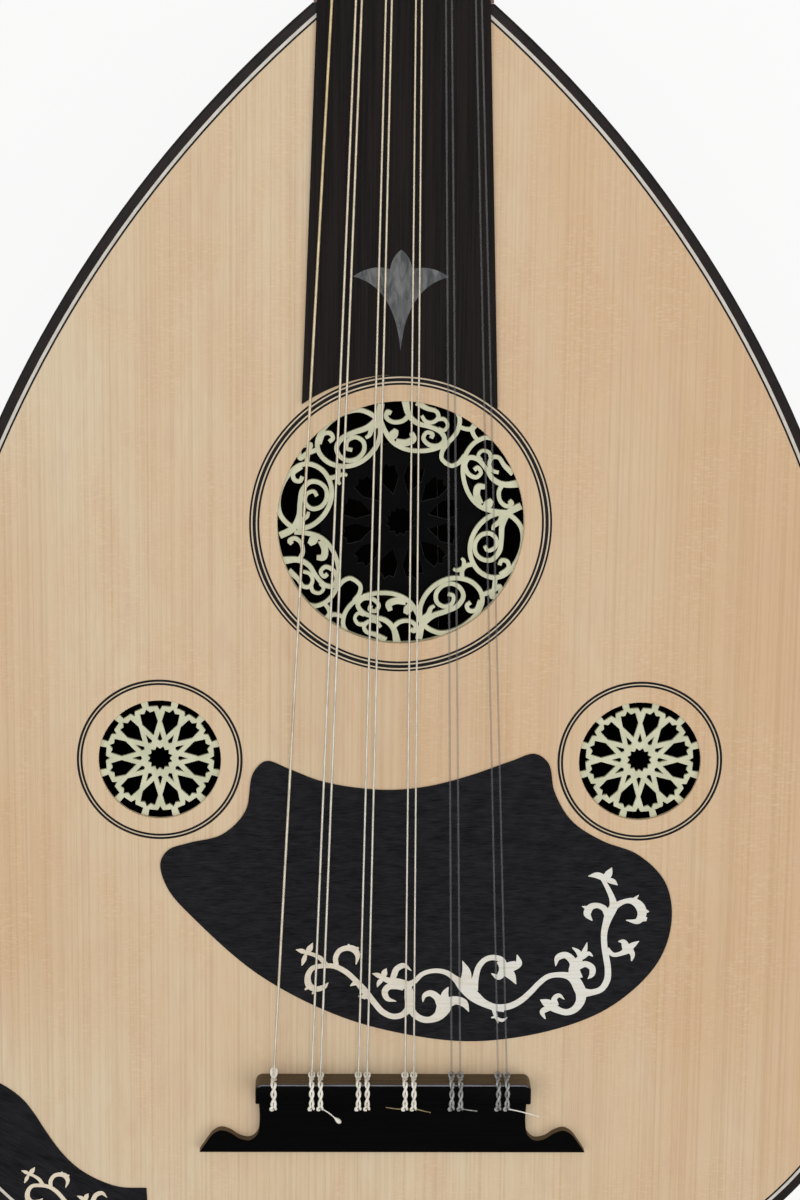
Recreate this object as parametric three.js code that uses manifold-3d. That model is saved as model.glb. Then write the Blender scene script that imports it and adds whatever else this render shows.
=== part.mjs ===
// A Turkish oud lying face up on its bowl and its pegbox tip.
// Millimetres, +Z up, +Y towards the neck, +X towards the treble side.
import * as THREE from 'three';
import { mergeVertices } from 'three/addons/utils/BufferGeometryUtils.js';
import Module from 'manifold-3d';

const wasm = await Module();
wasm.setup();
const { PI, sin, cos, tan, asin, acos, atan2, hypot, sqrt, sign } = Math;
const degrees = PI / 180;

// Strings and their heights
const stringLength = 585;
const stringDiameters = [1.2, 1.05, 1.05, 0.95, 0.95, 0.85, 0.85, 0.8, 0.8, 0.75, 0.75];
const stringSides = 5;
const stringHeightAtBridge = 7;
const stringHeightAtNut = 3.1;
const courseGapAtBridge = 13.9;
const pairGapAtBridge = 3.2;
const courseGapAtNut = 5.4;
const pairGapAtNut = 1.43;
const spreadShiftAtBridge = -1.05;
const spreadShiftAtNut = 1.9;

// Outline of the soundboard: four arcs from the tail to the neck joint
const bridgeToTail = 99.4;
const tailRadius = 273.2;
const tailAngle = 22.5 * degrees;
const boutRadius = 127.6;
const flankRadius = 566.2;
const flankAngle = 9.3 * degrees;
const shoulderRadius = 435.1;
const jointHalfWidth = 31;
const outlineSteps = [3, 7, 3, 6];

// Bowl
const ribCount = 13;
const ribThickness = 3;
const ribGap = 0.3;
const ribTailRadius = 12;
const seatGap = 0.3;
const claspThickness = 1.8;
const claspReach = 3.5;
const tailBlockLength = 16;
const tailBlockRadius = 45;
const neckBlockLength = 38;

// Soundboard
const boardThickness = 1.8;
const bindingWidth = 3.25;
const purflingWidth = 2.05;
const braceWidth = 5;
const braceDepth = 12;
const braceBehindBridge = 8.7;
const braceToSmallRosettes = 29.2;
const braceToMainRosette = 10.6;

// Sound holes and rosettes
const mainHoleRadius = 43.9;
const mainHoleY = 207.2;
const smallHoleRadius = 22;
const smallHoleY = 119.7;
const smallHoleBassX = -85.2;
const smallHoleTrebleX = 88.2;
const holeSides = 48;
const rosetteThickness = 1.5;
const rosetteLap = 4;
const rosetteCentreRadius = 25.5;
const rosetteCentreLap = 3;

// Fingerboard, neck and nut
const fingerboardThickness = 1.8;
const fingerboardHalfWidthAtNut = 23.25;
const fingerboardHalfWidthAtEnd = 34.5;
const fingerboardEndRadius = 55.1;
const inlayThickness = 0.8;
const inlayClearance = 0.1;
const inlayTop = 304.9;
const inlayHeight = 35.7;
const inlayHalfWidth = 16.8;
const neckDepthAtNut = 17.5;
const nutDepth = 5;
const nutAboveString = 0.5;
const slotClearance = 0.15;

// Pegbox, measured along and square to its open edge
const pegboxRun = 130;
const pegboxTipDepth = 20;
const pegboxTipHalfWidth = 13;
const pegboxBow = 4;
const cheekThickness = 4;
const pegboxBackThickness = 4;
const heelBlockLength = 8;
const heelBlockDrop = 7;
const endBlockLength = 14;
const pegboxSteps = 8;

// Pegs
const pegCount = 11;
const firstPegPlace = 24;
const pegSpacing = 16.6;
const pegHeadRadius = 4.2;
const pegTipRadius = 3.2;
const pegTipStand = 1;
const pegSides = 8;
const pegHoleClearance = 0.4;
const pegCollarStand = 3;
const pegCollarRadius = 5.6;
const pegCollarWidth = 2;
const pegWaistLength = 4;
const pegWaistRadius = 3.1;
const pegThumbLength = 23;
const pegThumbHalfWidth = 9.5;
const pegThumbHalfDepth = 3.6;
const pegTurnStep = 37 * degrees;

// Windings on the pegs
const windingTurns = 2;
const windingSteps = 10;
const windingGap = 0.35;
const windingSpace = 0.5;
const windingLandShare = 0.72;

// Bridge
const bridgeHalfWidth = 50.5;
const bridgeFootRound = 2;
const bridgeBlockHeight = 11.5;
const bridgeBlockDepth = 8;
const bridgePlateHeight = 4;
const bridgePlateDepth = 29.5;
const bridgeTipHalfWidth = 71.2;
const tieHoleRadius = 1.1;
const tieHoleSides = 8;
const stringStartDepth = 4;

// Guards
const pickguardThickness = 0.6;
const pickguardLeft = -85.2;
const pickguardBottom = 12.7;
const pickguardWidth = 186.6;
const pickguardHeight = 109.8;
const armGuardThickness = 0.6;
const armGuardTop = 3;
const armGuardRight = -88;
const guardSprigX = -137.3;
const guardSprigY = -38.3;
const guardSprigTurn = 8 * degrees;
const guardSprigScaleShare = 0.775;
const veneerThickness = 0.3;

const overrun = 1;
const mergeTolerance = 1e-4;

// Turns a closed geometry into a solid for cutting and joining
function solidOf(geometry) {
  const bare = geometry.index ? geometry.toNonIndexed() : geometry.clone();
  bare.deleteAttribute('normal');
  bare.deleteAttribute('uv');
  const merged = mergeVertices(bare, mergeTolerance);
  return new wasm.Manifold(new wasm.Mesh({
    numProp: 3,
    vertProperties: new Float32Array(merged.attributes.position.array),
    triVerts: new Uint32Array(merged.index.array),
  }));
}

// Turns a solid back into a geometry
function geometryOf(solid) {
  const mesh = solid.getMesh();
  const geometry = new THREE.BufferGeometry();
  geometry.setAttribute('position', new THREE.BufferAttribute(mesh.vertProperties, 3));
  geometry.setIndex(new THREE.BufferAttribute(mesh.triVerts, 1));
  return flatShaded(geometry);
}

function flatShaded(geometry) {
  const flat = geometry.index ? geometry.toNonIndexed() : geometry;
  flat.computeVertexNormals();
  return flat;
}

// A closed geometry from points and triangles, with its faces turned outwards
function closedGeometry(points, faces) {
  let volume = 0;
  for (let i = 0; i < faces.length; i += 3) {
    const [a, b, c] = [points[faces[i]], points[faces[i + 1]], points[faces[i + 2]]];
    volume += a.dot(new THREE.Vector3().crossVectors(b, c));
  }
  const turned = volume < 0 ? faces.slice().reverse() : faces;
  const geometry = new THREE.BufferGeometry().setFromPoints(points);
  geometry.setIndex(turned);
  return flatShaded(geometry);
}

// Skins a row of rings of the same number of points, with flat convex ends
function loft(rings) {
  const count = rings[0].length;
  const points = rings.flat();
  const last = points.length - count;
  const faces = [];
  for (let i = 0; i < rings.length - 1; i++) {
    for (let j = 0; j < count; j++) {
      const a = i * count + j;
      const b = i * count + (j + 1) % count;
      faces.push(a, b, b + count, a, b + count, a + count);
    }
  }
  for (let j = 1; j < count - 1; j++) {
    faces.push(0, j + 1, j, last, last + j, last + j + 1);
  }
  return closedGeometry(points, faces);
}

// Extrudes a shape between two heights
function slab(shape, low, high) {
  const geometry = new THREE.ExtrudeGeometry(shape, { depth: high - low, bevelEnabled: false });
  return geometry.translate(0, 0, low);
}

function shapeOf(points) {
  return new THREE.Shape(points.map(([x, y]) => new THREE.Vector2(x, y)));
}

function circlePoints(x, y, radius, sides) {
  return Array.from({ length: sides }, (_, i) => {
    const angle = (2 * PI * i) / sides;
    return [x + radius * cos(angle), y + radius * sin(angle)];
  });
}

// A box between two corners
function boxBetween(low, high) {
  const size = high.map((value, i) => value - low[i]);
  const middle = high.map((value, i) => (value + low[i]) / 2);
  return new THREE.BoxGeometry(...size).translate(...middle);
}

// A smooth open curve through points, sampled evenly
function smoothPath(points, samples) {
  const places = points.map(([x, y]) => new THREE.Vector3(x, y, 0));
  const curve = new THREE.CatmullRomCurve3(places, false, 'centripetal');
  return curve.getPoints(samples).map((p) => [p.x, p.y]);
}

// A flat stroke of changing width along a smooth path, as an outline
function strokeOutline(points, widths, samples) {
  const path = smoothPath(points, samples);
  const left = [];
  const right = [];
  path.forEach(([x, y], i) => {
    const before = path[Math.max(i - 1, 0)];
    const after = path[Math.min(i + 1, samples)];
    const length = hypot(after[0] - before[0], after[1] - before[1]);
    const across = [-(after[1] - before[1]) / length, (after[0] - before[0]) / length];
    const place = (i / samples) * (widths.length - 1);
    const from = Math.min(Math.floor(place), widths.length - 2);
    const half = (widths[from] + (widths[from + 1] - widths[from]) * (place - from)) / 2;
    left.push([x + across[0] * half, y + across[1] * half]);
    right.push([x - across[0] * half, y - across[1] * half]);
  });
  return left.concat(right.reverse());
}

// The arcs of the outline, each tangent to the one before, by angle from the tail
function nextArc(arc, radius, to) {
  const shift = arc.radius - radius;
  return {
    x: arc.x + shift * sin(arc.to),
    y: arc.y - shift * cos(arc.to),
    radius,
    from: arc.to,
    to,
  };
}

const tailArc = { x: 0, y: tailRadius - bridgeToTail, radius: tailRadius, from: 0, to: tailAngle };
const boutArc = nextArc(tailArc, boutRadius, PI / 2);
const flankArc = nextArc(boutArc, flankRadius, PI / 2 + flankAngle);
const shoulderArc = nextArc(flankArc, shoulderRadius, PI);
const shoulderEnd = PI - asin((jointHalfWidth - shoulderArc.x) / shoulderRadius);
const jointY = shoulderArc.y - shoulderRadius * cos(shoulderEnd);
const bodyHalfWidth = boutArc.x + boutRadius;

// The right half of the outline, set in by a distance, from startX to endY
function outlineHalf(inset, endY, startX = 0, steps = outlineSteps) {
  const points = [];
  [tailArc, boutArc, flankArc, shoulderArc].forEach((arc, i) => {
    const radius = arc.radius - inset;
    const from = i === 0 ? asin(startX / arc.radius) : arc.from;
    const to = arc === shoulderArc ? PI - acos((endY - arc.y) / radius) : arc.to;
    for (let k = i === 0 ? 0 : 1; k <= steps[i]; k++) {
      const angle = from + ((to - from) * k) / steps[i];
      points.push([arc.x + radius * sin(angle), arc.y - radius * cos(angle)]);
    }
  });
  return points;
}

const mirrored = (points) => points.map(([x, y]) => [-x, y]).reverse();

// Half width of the outline at a place along the body, set in by a distance
function halfWidthAt(y, inset) {
  const arcs = [tailArc, boutArc, flankArc, shoulderArc];
  const arc = arcs.find((a) => y <= a.y - (a.radius - inset) * cos(a.to)) ?? shoulderArc;
  return arc.x + sqrt((arc.radius - inset) ** 2 - (y - arc.y) ** 2);
}

// The bowl is the outline turned half a turn about its middle line, in flat staves
const bowlTop = -boardThickness;
const staveAngle = PI / ribCount;
const lowestShare = ribCount % 2 ? cos(staveAngle / 2) : 1;
const bowlBottom = bowlTop - bodyHalfWidth * lowestShare;

const bowlPoint = ([radius, y], angle) =>
  new THREE.Vector3(-radius * cos(angle), y, bowlTop - radius * sin(angle));

// The filled bowl, set in by a distance, to cut what lies inside or round it
function bowlCore(inset, endY) {
  const profile = [[0, inset - bridgeToTail], ...outlineHalf(inset, endY, ribTailRadius)];
  const points = [new THREE.Vector3(0, profile[0][1], bowlTop)];
  const faces = [];
  const at = (station, stave) => 1 + (station - 1) * (ribCount + 1) + stave;
  profile.slice(1).forEach((place) => {
    for (let stave = 0; stave <= ribCount; stave++) {
      points.push(bowlPoint(place, stave * staveAngle));
    }
  });
  for (let stave = 0; stave < ribCount; stave++) {
    faces.push(0, at(1, stave), at(1, stave + 1));
    for (let station = 1; station < profile.length - 1; station++) {
      const [a, b] = [at(station, stave), at(station, stave + 1)];
      const [c, d] = [at(station + 1, stave), at(station + 1, stave + 1)];
      faces.push(a, c, d, a, d, b);
    }
  }
  faces.push(0, at(1, ribCount), at(1, 0));
  for (let station = 1; station < profile.length - 1; station++) {
    const [a, b] = [at(station, ribCount), at(station, 0)];
    const [c, d] = [at(station + 1, ribCount), at(station + 1, 0)];
    faces.push(a, c, d, a, d, b);
  }
  const end = profile.length - 1;
  for (let stave = 1; stave < ribCount; stave++) {
    faces.push(at(end, 0), at(end, stave + 1), at(end, stave));
  }
  return solidOf(closedGeometry(points, faces));
}

const keepBelowY = (solid, y) => solid.trimByPlane([0, -1, 0], -y);
const keepAboveY = (solid, y) => solid.trimByPlane([0, 1, 0], y);

const oud = new THREE.Group();
const body = new THREE.Group();
oud.add(body);

const finish = (color, roughness, metalness = 0) => ({ color, roughness, metalness });
const spruce = finish(0xd7be9b, 0.55);
const blackWood = finish(0x1e1c1e, 0.35);
const blackGrained = finish(0x23232a, 0.6);
const walnut = finish(0x6b4528, 0.4);
const neckWood = finish(0x4a2f1f, 0.4);
const blockWood = finish(0xc9ad82, 0.7);
const paleWood = finish(0xebe6d7, 0.55);
const rosetteGreen = finish(0xc8cdaf, 0.5);
const bone = finish(0xefe9d6, 0.35);
const greyPearl = finish(0x5c5c5c, 0.3);
const goldString = finish(0xc9a45a, 0.3, 0.9);
const silverString = finish(0xd9d8d0, 0.3, 0.8);
const clearString = finish(0x9aa0a3, 0.15);

function addPiece(parent, name, geometry, look) {
  const mesh = new THREE.Mesh(geometry, new THREE.MeshStandardMaterial(look));
  mesh.name = name;
  parent.add(mesh);
  return mesh;
}

// Ribs: flat staves, each a four-sided section carried from the tail to the joint
function ribGeometry(stave) {
  const steps = outlineSteps;
  const outer = outlineHalf(0, jointY - seatGap, ribTailRadius, steps);
  const inner = outlineHalf(ribThickness, jointY - seatGap, ribTailRadius, steps);
  const edge = (place, boundary, side) => {
    const onRim = boundary === 0 || boundary === ribCount;
    const trim = onRim ? 0 : asin(ribGap / 2 / place[0]);
    return bowlPoint(place, boundary * staveAngle + side * trim);
  };
  return loft(outer.map((place, i) => [
    edge(place, stave, 1),
    edge(place, stave + 1, -1),
    edge(inner[i], stave + 1, -1),
    edge(inner[i], stave, 1),
  ]));
}

for (let stave = 0; stave < ribCount; stave++) {
  addPiece(body, `rib_${stave + 1}`, ribGeometry(stave), walnut);
}

// End clasp: a thin half-round cap over the rib ends
const claspOuter = bowlCore(-(seatGap + claspThickness), jointY);
const claspInner = bowlCore(-seatGap, jointY + overrun);
const claspEdgeY = -bridgeToTail + claspReach;
addPiece(body, 'end_clasp', geometryOf(keepBelowY(claspOuter.subtract(claspInner), claspEdgeY)), blackWood);

// Blocks and braces, cut to the inside of the bowl
const bowlInside = bowlCore(ribThickness + seatGap, jointY - seatGap);
const tailBlockFace = -bridgeToTail + ribThickness + seatGap + tailBlockLength;
const blockRound = solidOf(
  new THREE.CylinderGeometry(tailBlockRadius, tailBlockRadius, 2 * bridgeToTail, holeSides / 2)
    .translate(0, -bridgeToTail, bowlTop),
);
const tailBlock = keepBelowY(bowlInside.intersect(blockRound), tailBlockFace);
addPiece(body, 'tail_block', geometryOf(tailBlock), blockWood);
const neckBlock = keepAboveY(bowlInside, jointY - seatGap - neckBlockLength);
addPiece(body, 'neck_block', geometryOf(neckBlock), blockWood);

const smallRosetteReach = smallHoleRadius + rosetteLap;
const mainRosetteReach = mainHoleRadius + rosetteLap;
const bracePlaces = [
  -bridgePlateDepth - braceBehindBridge - braceWidth / 2,
  smallHoleY - smallRosetteReach - braceToSmallRosettes - braceWidth / 2,
  (smallHoleY + smallRosetteReach + mainHoleY - mainRosetteReach) / 2,
  mainHoleY + mainRosetteReach + braceToMainRosette + braceWidth / 2,
];
bracePlaces.forEach((y, i) => {
  const bar = solidOf(boxBetween(
    [-bodyHalfWidth, y - braceWidth / 2, bowlTop - braceDepth],
    [bodyHalfWidth, y + braceWidth / 2, bowlTop],
  ));
  addPiece(body, `brace_${i + 1}`, geometryOf(bar.intersect(bowlInside)), spruce);
});

// Soundboard inside its binding, with three round holes
const boardEdge = outlineHalf(bindingWidth, jointY - seatGap);
const boardShape = shapeOf(boardEdge.concat(mirrored(boardEdge.slice(1))));
const holes = [
  [0, mainHoleY, mainHoleRadius, holeSides],
  [smallHoleBassX, smallHoleY, smallHoleRadius, holeSides * 2 / 3],
  [smallHoleTrebleX, smallHoleY, smallHoleRadius, holeSides * 2 / 3],
];
holes.forEach((hole) => boardShape.holes.push(shapeOf(circlePoints(...hole))));
addPiece(body, 'soundboard', slab(boardShape, bowlTop, 0), spruce);

const rim = outlineHalf(0, jointY - seatGap);
const rimInside = outlineHalf(bindingWidth - inlayClearance, jointY - seatGap);
const bindingShape = shapeOf([
  ...rim,
  ...rimInside.slice(1).reverse(),
  rimInside[0],
  ...mirrored(rimInside.slice(1)).reverse(),
  ...mirrored(rim.slice(1)),
]);
addPiece(body, 'edge_binding', slab(bindingShape, bowlTop, 0), blackWood);

// Pierced twelve-fold plate, by radius as a share of the hole and angle from a ray
const rayCount = 12;
const rayAngle = (2 * PI) / rayCount;
const starTipShare = 0.2;
const starValleyShare = 0.155;
const smallKiteShares = [[0.436, 0], [0.325, 0.215], [0.3, 0], [0.325, -0.215]];
const bigKiteShares = [
  [0.42, 0], [0.63, 0.383], [0.8, 0.277], [0.785, 0.113],
  [0.845, 0], [0.785, -0.113], [0.8, -0.277], [0.63, -0.383],
];
const slotShares = [
  [1.02, -0.38], [0.895, -0.38], [0.89, -0.08], [0.825, 0],
  [0.89, 0.08], [0.895, 0.38], [1.02, 0.38], [1.02, 0],
];

const polar = (x, y, radius, angle) => [x + radius * sin(angle), y + radius * cos(angle)];

function rayedPlate(x, y, radius, lap, cuts) {
  const shape = shapeOf(circlePoints(x, y, radius + lap, holeSides * 2 / 3));
  const star = Array.from({ length: 2 * rayCount }, (_, i) => {
    const share = i % 2 ? starTipShare : starValleyShare;
    return polar(x, y, radius * share, (i * rayAngle) / 2);
  });
  shape.holes.push(shapeOf(star));
  for (let ray = 0; ray < rayCount; ray++) {
    cuts.forEach(({ shares, turn }) => {
      const middle = (ray + turn) * rayAngle;
      shape.holes.push(shapeOf(shares.map(([share, offset]) =>
        polar(x, y, radius * share, middle + offset * rayAngle))));
    });
  }
  return shape;
}

const fullCuts = [
  { shares: smallKiteShares, turn: 0 },
  { shares: bigKiteShares, turn: 0.5 },
  { shares: slotShares, turn: 0 },
];
const plainCuts = [{ shares: bigKiteShares, turn: 0.5 }];
const rosetteTop = bowlTop;
const rosetteBottom = rosetteTop - rosetteThickness;
[['bass', smallHoleBassX], ['treble', smallHoleTrebleX]].forEach(([side, x]) => {
  const plate = rayedPlate(x, smallHoleY, smallHoleRadius, rosetteLap, fullCuts);
  addPiece(body, `small_rosette_${side}`, slab(plate, rosetteBottom, rosetteTop), rosetteGreen);
});
const centrePlate = rayedPlate(0, mainHoleY, rosetteCentreRadius, rosetteCentreLap, plainCuts);
const centreTop = rosetteBottom;
addPiece(body, 'rosette_centre', slab(centrePlate, centreTop - rosetteThickness, centreTop), blackWood);

// Main rosette: scrolls by share of a quarter turn from the motif's middle and share of the hole's radius
const leafScrollShares = [
  { at: [[-0.269, 0.865], [-0.256, 0.77], [-0.209, 0.664], [-0.116, 0.606], [0.008, 0.604],
      [0.124, 0.662], [0.189, 0.761], [0.201, 0.882], [0.174, 0.979], [0.137, 1.019]],
    widths: [0.038, 0.041, 0.041, 0.038, 0.038, 0.038, 0.038, 0.038, 0.038, 0.038] },
  { at: [[-0.126, 1.014], [-0.102, 0.891], [-0.049, 0.828], [0.039, 0.818], [0.114, 0.808],
      [0.159, 0.765], [0.142, 0.701], [0.071, 0.677], [0.018, 0.714], [0.03, 0.767], [0.07, 0.767],
      [0.07, 0.732]],
    widths: [0.069, 0.049, 0.044, 0.038, 0.041, 0.041, 0.041, 0.038, 0.036, 0.033, 0.036, 0.036] },
  { at: [[-0.09, 0.899], [-0.133, 0.834], [-0.196, 0.826], [-0.232, 0.87], [-0.221, 0.913],
      [-0.201, 0.898]],
    widths: [0.041, 0.038, 0.036, 0.038, 0.041, 0.038] },
  { at: [[-0.064, 0.993], [-0.007, 0.959], [0.049, 0.952], [0.069, 0.911], [0.046, 0.859],
      [0.004, 0.853], [-0.026, 0.89]],
    widths: [0.055, 0.041, 0.036, 0.036, 0.033, 0.033, 0.03] },
  { at: [[0.059, 0.891], [0.103, 0.914], [0.136, 0.881], [0.13, 0.832], [0.092, 0.826]],
    widths: [0.036, 0.033, 0.03, 0.03, 0.03] },
  { at: [[-0.229, 0.691], [-0.197, 0.726], [-0.176, 0.763]],
    widths: [0.055, 0.077, 0.041] },
  { at: [[-0.183, 0.662], [-0.104, 0.655], [-0.053, 0.691], [-0.071, 0.741]],
    widths: [0.06, 0.06, 0.058, 0.041] },
  { at: [[0.192, 0.755], [0.186, 0.679], [0.21, 0.621], [0.269, 0.606]],
    widths: [0.038, 0.038, 0.036, 0.036] },
  { at: [[0.193, 0.915], [0.232, 0.926], [0.259, 0.954], [0.258, 1.012]],
    widths: [0.036, 0.036, 0.041, 0.041] },
];
const loopScrollShares = [
  { at: [[0.223, 0.838], [0.198, 0.717], [0.111, 0.623], [-0.033, 0.595], [-0.149, 0.651],
      [-0.202, 0.762], [-0.192, 0.876], [-0.152, 0.946], [-0.088, 0.987], [-0.014, 1.006],
      [0.06, 1.006], [0.129, 0.981], [0.182, 0.92], [0.22, 0.846]],
    widths: [0.041, 0.041, 0.041, 0.041, 0.041, 0.041, 0.041, 0.041, 0.041, 0.041, 0.041, 0.041, 0.041,
      0.041] },
  { at: [[0.248, 0.986], [0.214, 0.876], [0.14, 0.825], [0.051, 0.83], [-0.03, 0.838],
      [-0.094, 0.805], [-0.117, 0.736], [-0.093, 0.663], [-0.017, 0.631], [0.056, 0.663],
      [0.078, 0.729], [0.046, 0.789], [-0.011, 0.796], [-0.044, 0.748], [-0.02, 0.712]],
    widths: [0.06, 0.058, 0.049, 0.044, 0.044, 0.041, 0.038, 0.038, 0.038, 0.038, 0.038, 0.036, 0.033,
      0.033, 0.033] },
  { at: [[-0.153, 0.918], [-0.099, 0.957], [-0.07, 0.928], [-0.076, 0.882], [-0.106, 0.88]],
    widths: [0.03, 0.036, 0.038, 0.036, 0.036] },
  { at: [[0.219, 0.825], [0.167, 0.807], [0.132, 0.758], [0.103, 0.751]],
    widths: [0.041, 0.047, 0.036, 0.025] },
  { at: [[-0.179, 0.896], [-0.214, 0.924], [-0.246, 0.949], [-0.282, 0.969], [-0.246, 1.021]],
    widths: [0.038, 0.041, 0.041, 0.041, 0.041] },
  { at: [[-0.173, 0.692], [-0.216, 0.649], [-0.247, 0.639]],
    widths: [0.041, 0.038, 0.036] },
  { at: [[-0.247, 0.639], [-0.197, 0.608], [-0.187, 0.58]],
    widths: [0.036, 0.033, 0.022] },
];
const scrollPlaceShares = [
  [0.141, leafScrollShares, 1],
  [0.667, leafScrollShares, -1],
  [1.156, loopScrollShares, -1],
  [1.65, loopScrollShares, 1],
  [2.137, leafScrollShares, 1],
  [2.667, leafScrollShares, -1],
  [3.172, loopScrollShares, -1],
  [3.644, loopScrollShares, 1],
];
const scrollSamplesPerPoint = 1;

function scrollSolids() {
  return scrollPlaceShares.flatMap(([middle, strokes, hand]) => strokes.map(({ at, widths }) => {
    const points = at.map(([angle, share]) =>
      polar(0, mainHoleY, share * mainHoleRadius, (middle + hand * angle) * (PI / 2)));
    const samples = Math.round(scrollSamplesPerPoint * points.length);
    const outline = strokeOutline(points, widths.map((width) => width * mainHoleRadius), samples);
    return solidOf(slab(shapeOf(outline), rosetteBottom, rosetteTop));
  }));
}

const scrollRing = shapeOf(circlePoints(0, mainHoleY, mainHoleRadius + rosetteLap, holeSides));
scrollRing.holes.push(shapeOf(circlePoints(0, mainHoleY, mainHoleRadius - inlayClearance, holeSides)));
const scrollRim = solidOf(slab(scrollRing, rosetteBottom, rosetteTop));
addPiece(body, 'main_rosette', geometryOf(wasm.Manifold.union([scrollRim, ...scrollSolids()])), rosetteGreen);

// Neck: half-oval sections that thin towards the nut, cut off square to the pegbox
const nutBackY = stringLength + nutDepth;
const fallToTip = bowlBottom;
const tipReach = hypot(pegboxRun, fallToTip);
const pegboxAngle = atan2(-fallToTip, pegboxRun) - asin(pegboxTipDepth / tipReach);
const pegboxLength = sqrt(tipReach ** 2 - pegboxTipDepth ** 2) - seatGap;
const neckDepthAtJoint = jointHalfWidth + boardThickness;
const neckLength = stringLength - jointY;
const neckFairing = 2.4;
const neckStations = 7;
const neckArcSteps = 12;

const neckHalfWidthAt = (share) => jointHalfWidth + (fingerboardHalfWidthAtNut - jointHalfWidth) * share;
const neckDepthAt = (share) =>
  neckDepthAtNut + (neckDepthAtJoint - neckDepthAtNut) * Math.max(1 - share, 0) ** neckFairing;

const neckRings = Array.from({ length: neckStations + 1 }, (_, i) => {
  const share = (i / neckStations) * ((nutBackY - jointY) / neckLength);
  const y = jointY + share * neckLength;
  const halfWidth = neckHalfWidthAt(Math.min(share, 1));
  return Array.from({ length: neckArcSteps + 1 }, (_, k) => {
    const angle = (PI * k) / neckArcSteps;
    return new THREE.Vector3(halfWidth * cos(angle), y, -neckDepthAt(share) * sin(angle));
  });
});
const neckCut = [0, -cos(pegboxAngle), sin(pegboxAngle)];
const neck = solidOf(loft(neckRings)).trimByPlane(neckCut, neckCut[1] * nutBackY);
addPiece(body, 'neck', geometryOf(neck), neckWood);

// Fingerboard: tapered, its end a hollow arc round the main rosette, with a tulip let in
const fingerboardEndY = mainHoleY + sqrt(fingerboardEndRadius ** 2 - fingerboardHalfWidthAtEnd ** 2);
const endArcHalf = asin(fingerboardHalfWidthAtEnd / fingerboardEndRadius);
const endArcSteps = 12;
const endArc = Array.from({ length: endArcSteps + 1 }, (_, i) =>
  polar(0, mainHoleY, fingerboardEndRadius, -endArcHalf + (2 * endArcHalf * i) / endArcSteps));
const fingerboardShape = shapeOf([
  ...endArc,
  [fingerboardHalfWidthAtNut, stringLength],
  [-fingerboardHalfWidthAtNut, stringLength],
]);

// Tulip: a pointed middle petal over two side petals that draw down to one point
const petalBaseShares = [0.23, 0.19];
const petalBulgeShares = [0.19, 0.06];
const sideTipShares = [1, 0.265];
const sideBulgeShares = [0.62, 0.14];
const stemBulgeShares = [0.35, 0.44];

function tulipPoints() {
  const place = ([x, y], hand) => [hand * x * inlayHalfWidth, inlayTop - y * inlayHeight];
  const [petal, petalBulge, tip, sideBulge, stemBulge] =
    [petalBaseShares, petalBulgeShares, sideTipShares, sideBulgeShares, stemBulgeShares];
  const bottom = [0, inlayTop - inlayHeight];
  const shape = new THREE.Shape();
  shape.moveTo(0, inlayTop);
  shape.quadraticCurveTo(...place(petalBulge, 1), ...place(petal, 1));
  shape.quadraticCurveTo(...place(sideBulge, 1), ...place(tip, 1));
  shape.quadraticCurveTo(...place(stemBulge, 1), ...bottom);
  shape.quadraticCurveTo(...place(stemBulge, -1), ...place(tip, -1));
  shape.quadraticCurveTo(...place(sideBulge, -1), ...place(petal, -1));
  shape.quadraticCurveTo(...place(petalBulge, -1), 0, inlayTop);
  return shape.getPoints(4).slice(0, -1).map((p) => [p.x, p.y]).reverse();
}

// Moves the edges of an outline that runs anticlockwise outwards by a distance
function grown(points, distance) {
  return points.map(([x, y], i) => {
    const before = points[(i + points.length - 1) % points.length];
    const after = points[(i + 1) % points.length];
    const into = hypot(x - before[0], y - before[1]);
    const away = hypot(after[0] - x, after[1] - y);
    const first = [(y - before[1]) / into, (before[0] - x) / into];
    const second = [(after[1] - y) / away, (x - after[0]) / away];
    const mitre = distance / (1 + first[0] * second[0] + first[1] * second[1]);
    return [x + (first[0] + second[0]) * mitre, y + (first[1] + second[1]) * mitre];
  });
}

const inlayFloor = fingerboardThickness - inlayThickness;
const pocketShape = shapeOf(grown(tulipPoints(), inlayClearance));
const inlayPocket = solidOf(slab(pocketShape, inlayFloor, fingerboardThickness + overrun));
const fingerboard = solidOf(slab(fingerboardShape, 0, fingerboardThickness)).subtract(inlayPocket);
addPiece(body, 'fingerboard', geometryOf(fingerboard), blackWood);
const tulip = slab(shapeOf(tulipPoints()), inlayFloor, fingerboardThickness);
addPiece(body, 'fingerboard_inlay', tulip, greyPearl);

// Places of the strings across the bridge and the nut
function stringPlaces(courseGap, pairGap, shift) {
  const places = [0];
  for (let i = 1; i < pegCount; i++) {
    places.push(places[i - 1] + (i % 2 ? courseGap : pairGap));
  }
  const middle = places[pegCount - 1] / 2;
  return places.map((place) => place - middle + shift);
}

const bridgePlaces = stringPlaces(courseGapAtBridge, pairGapAtBridge, spreadShiftAtBridge);
const nutPlaces = stringPlaces(courseGapAtNut, pairGapAtNut, spreadShiftAtNut);

// Nut with a slot for each string
const nutTop = stringHeightAtNut + nutAboveString;
const nutBlock = solidOf(boxBetween(
  [-fingerboardHalfWidthAtNut, stringLength, 0],
  [fingerboardHalfWidthAtNut, nutBackY, nutTop],
));
const nutSlots = nutPlaces.map((x, i) => {
  const half = stringDiameters[i] / 2 + slotClearance;
  return solidOf(boxBetween(
    [x - half, stringLength - overrun, stringHeightAtNut - half],
    [x + half, nutBackY + overrun, nutTop + overrun],
  ));
});
addPiece(body, 'nut', geometryOf(nutBlock.subtract(wasm.Manifold.union(nutSlots))), bone);

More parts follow.
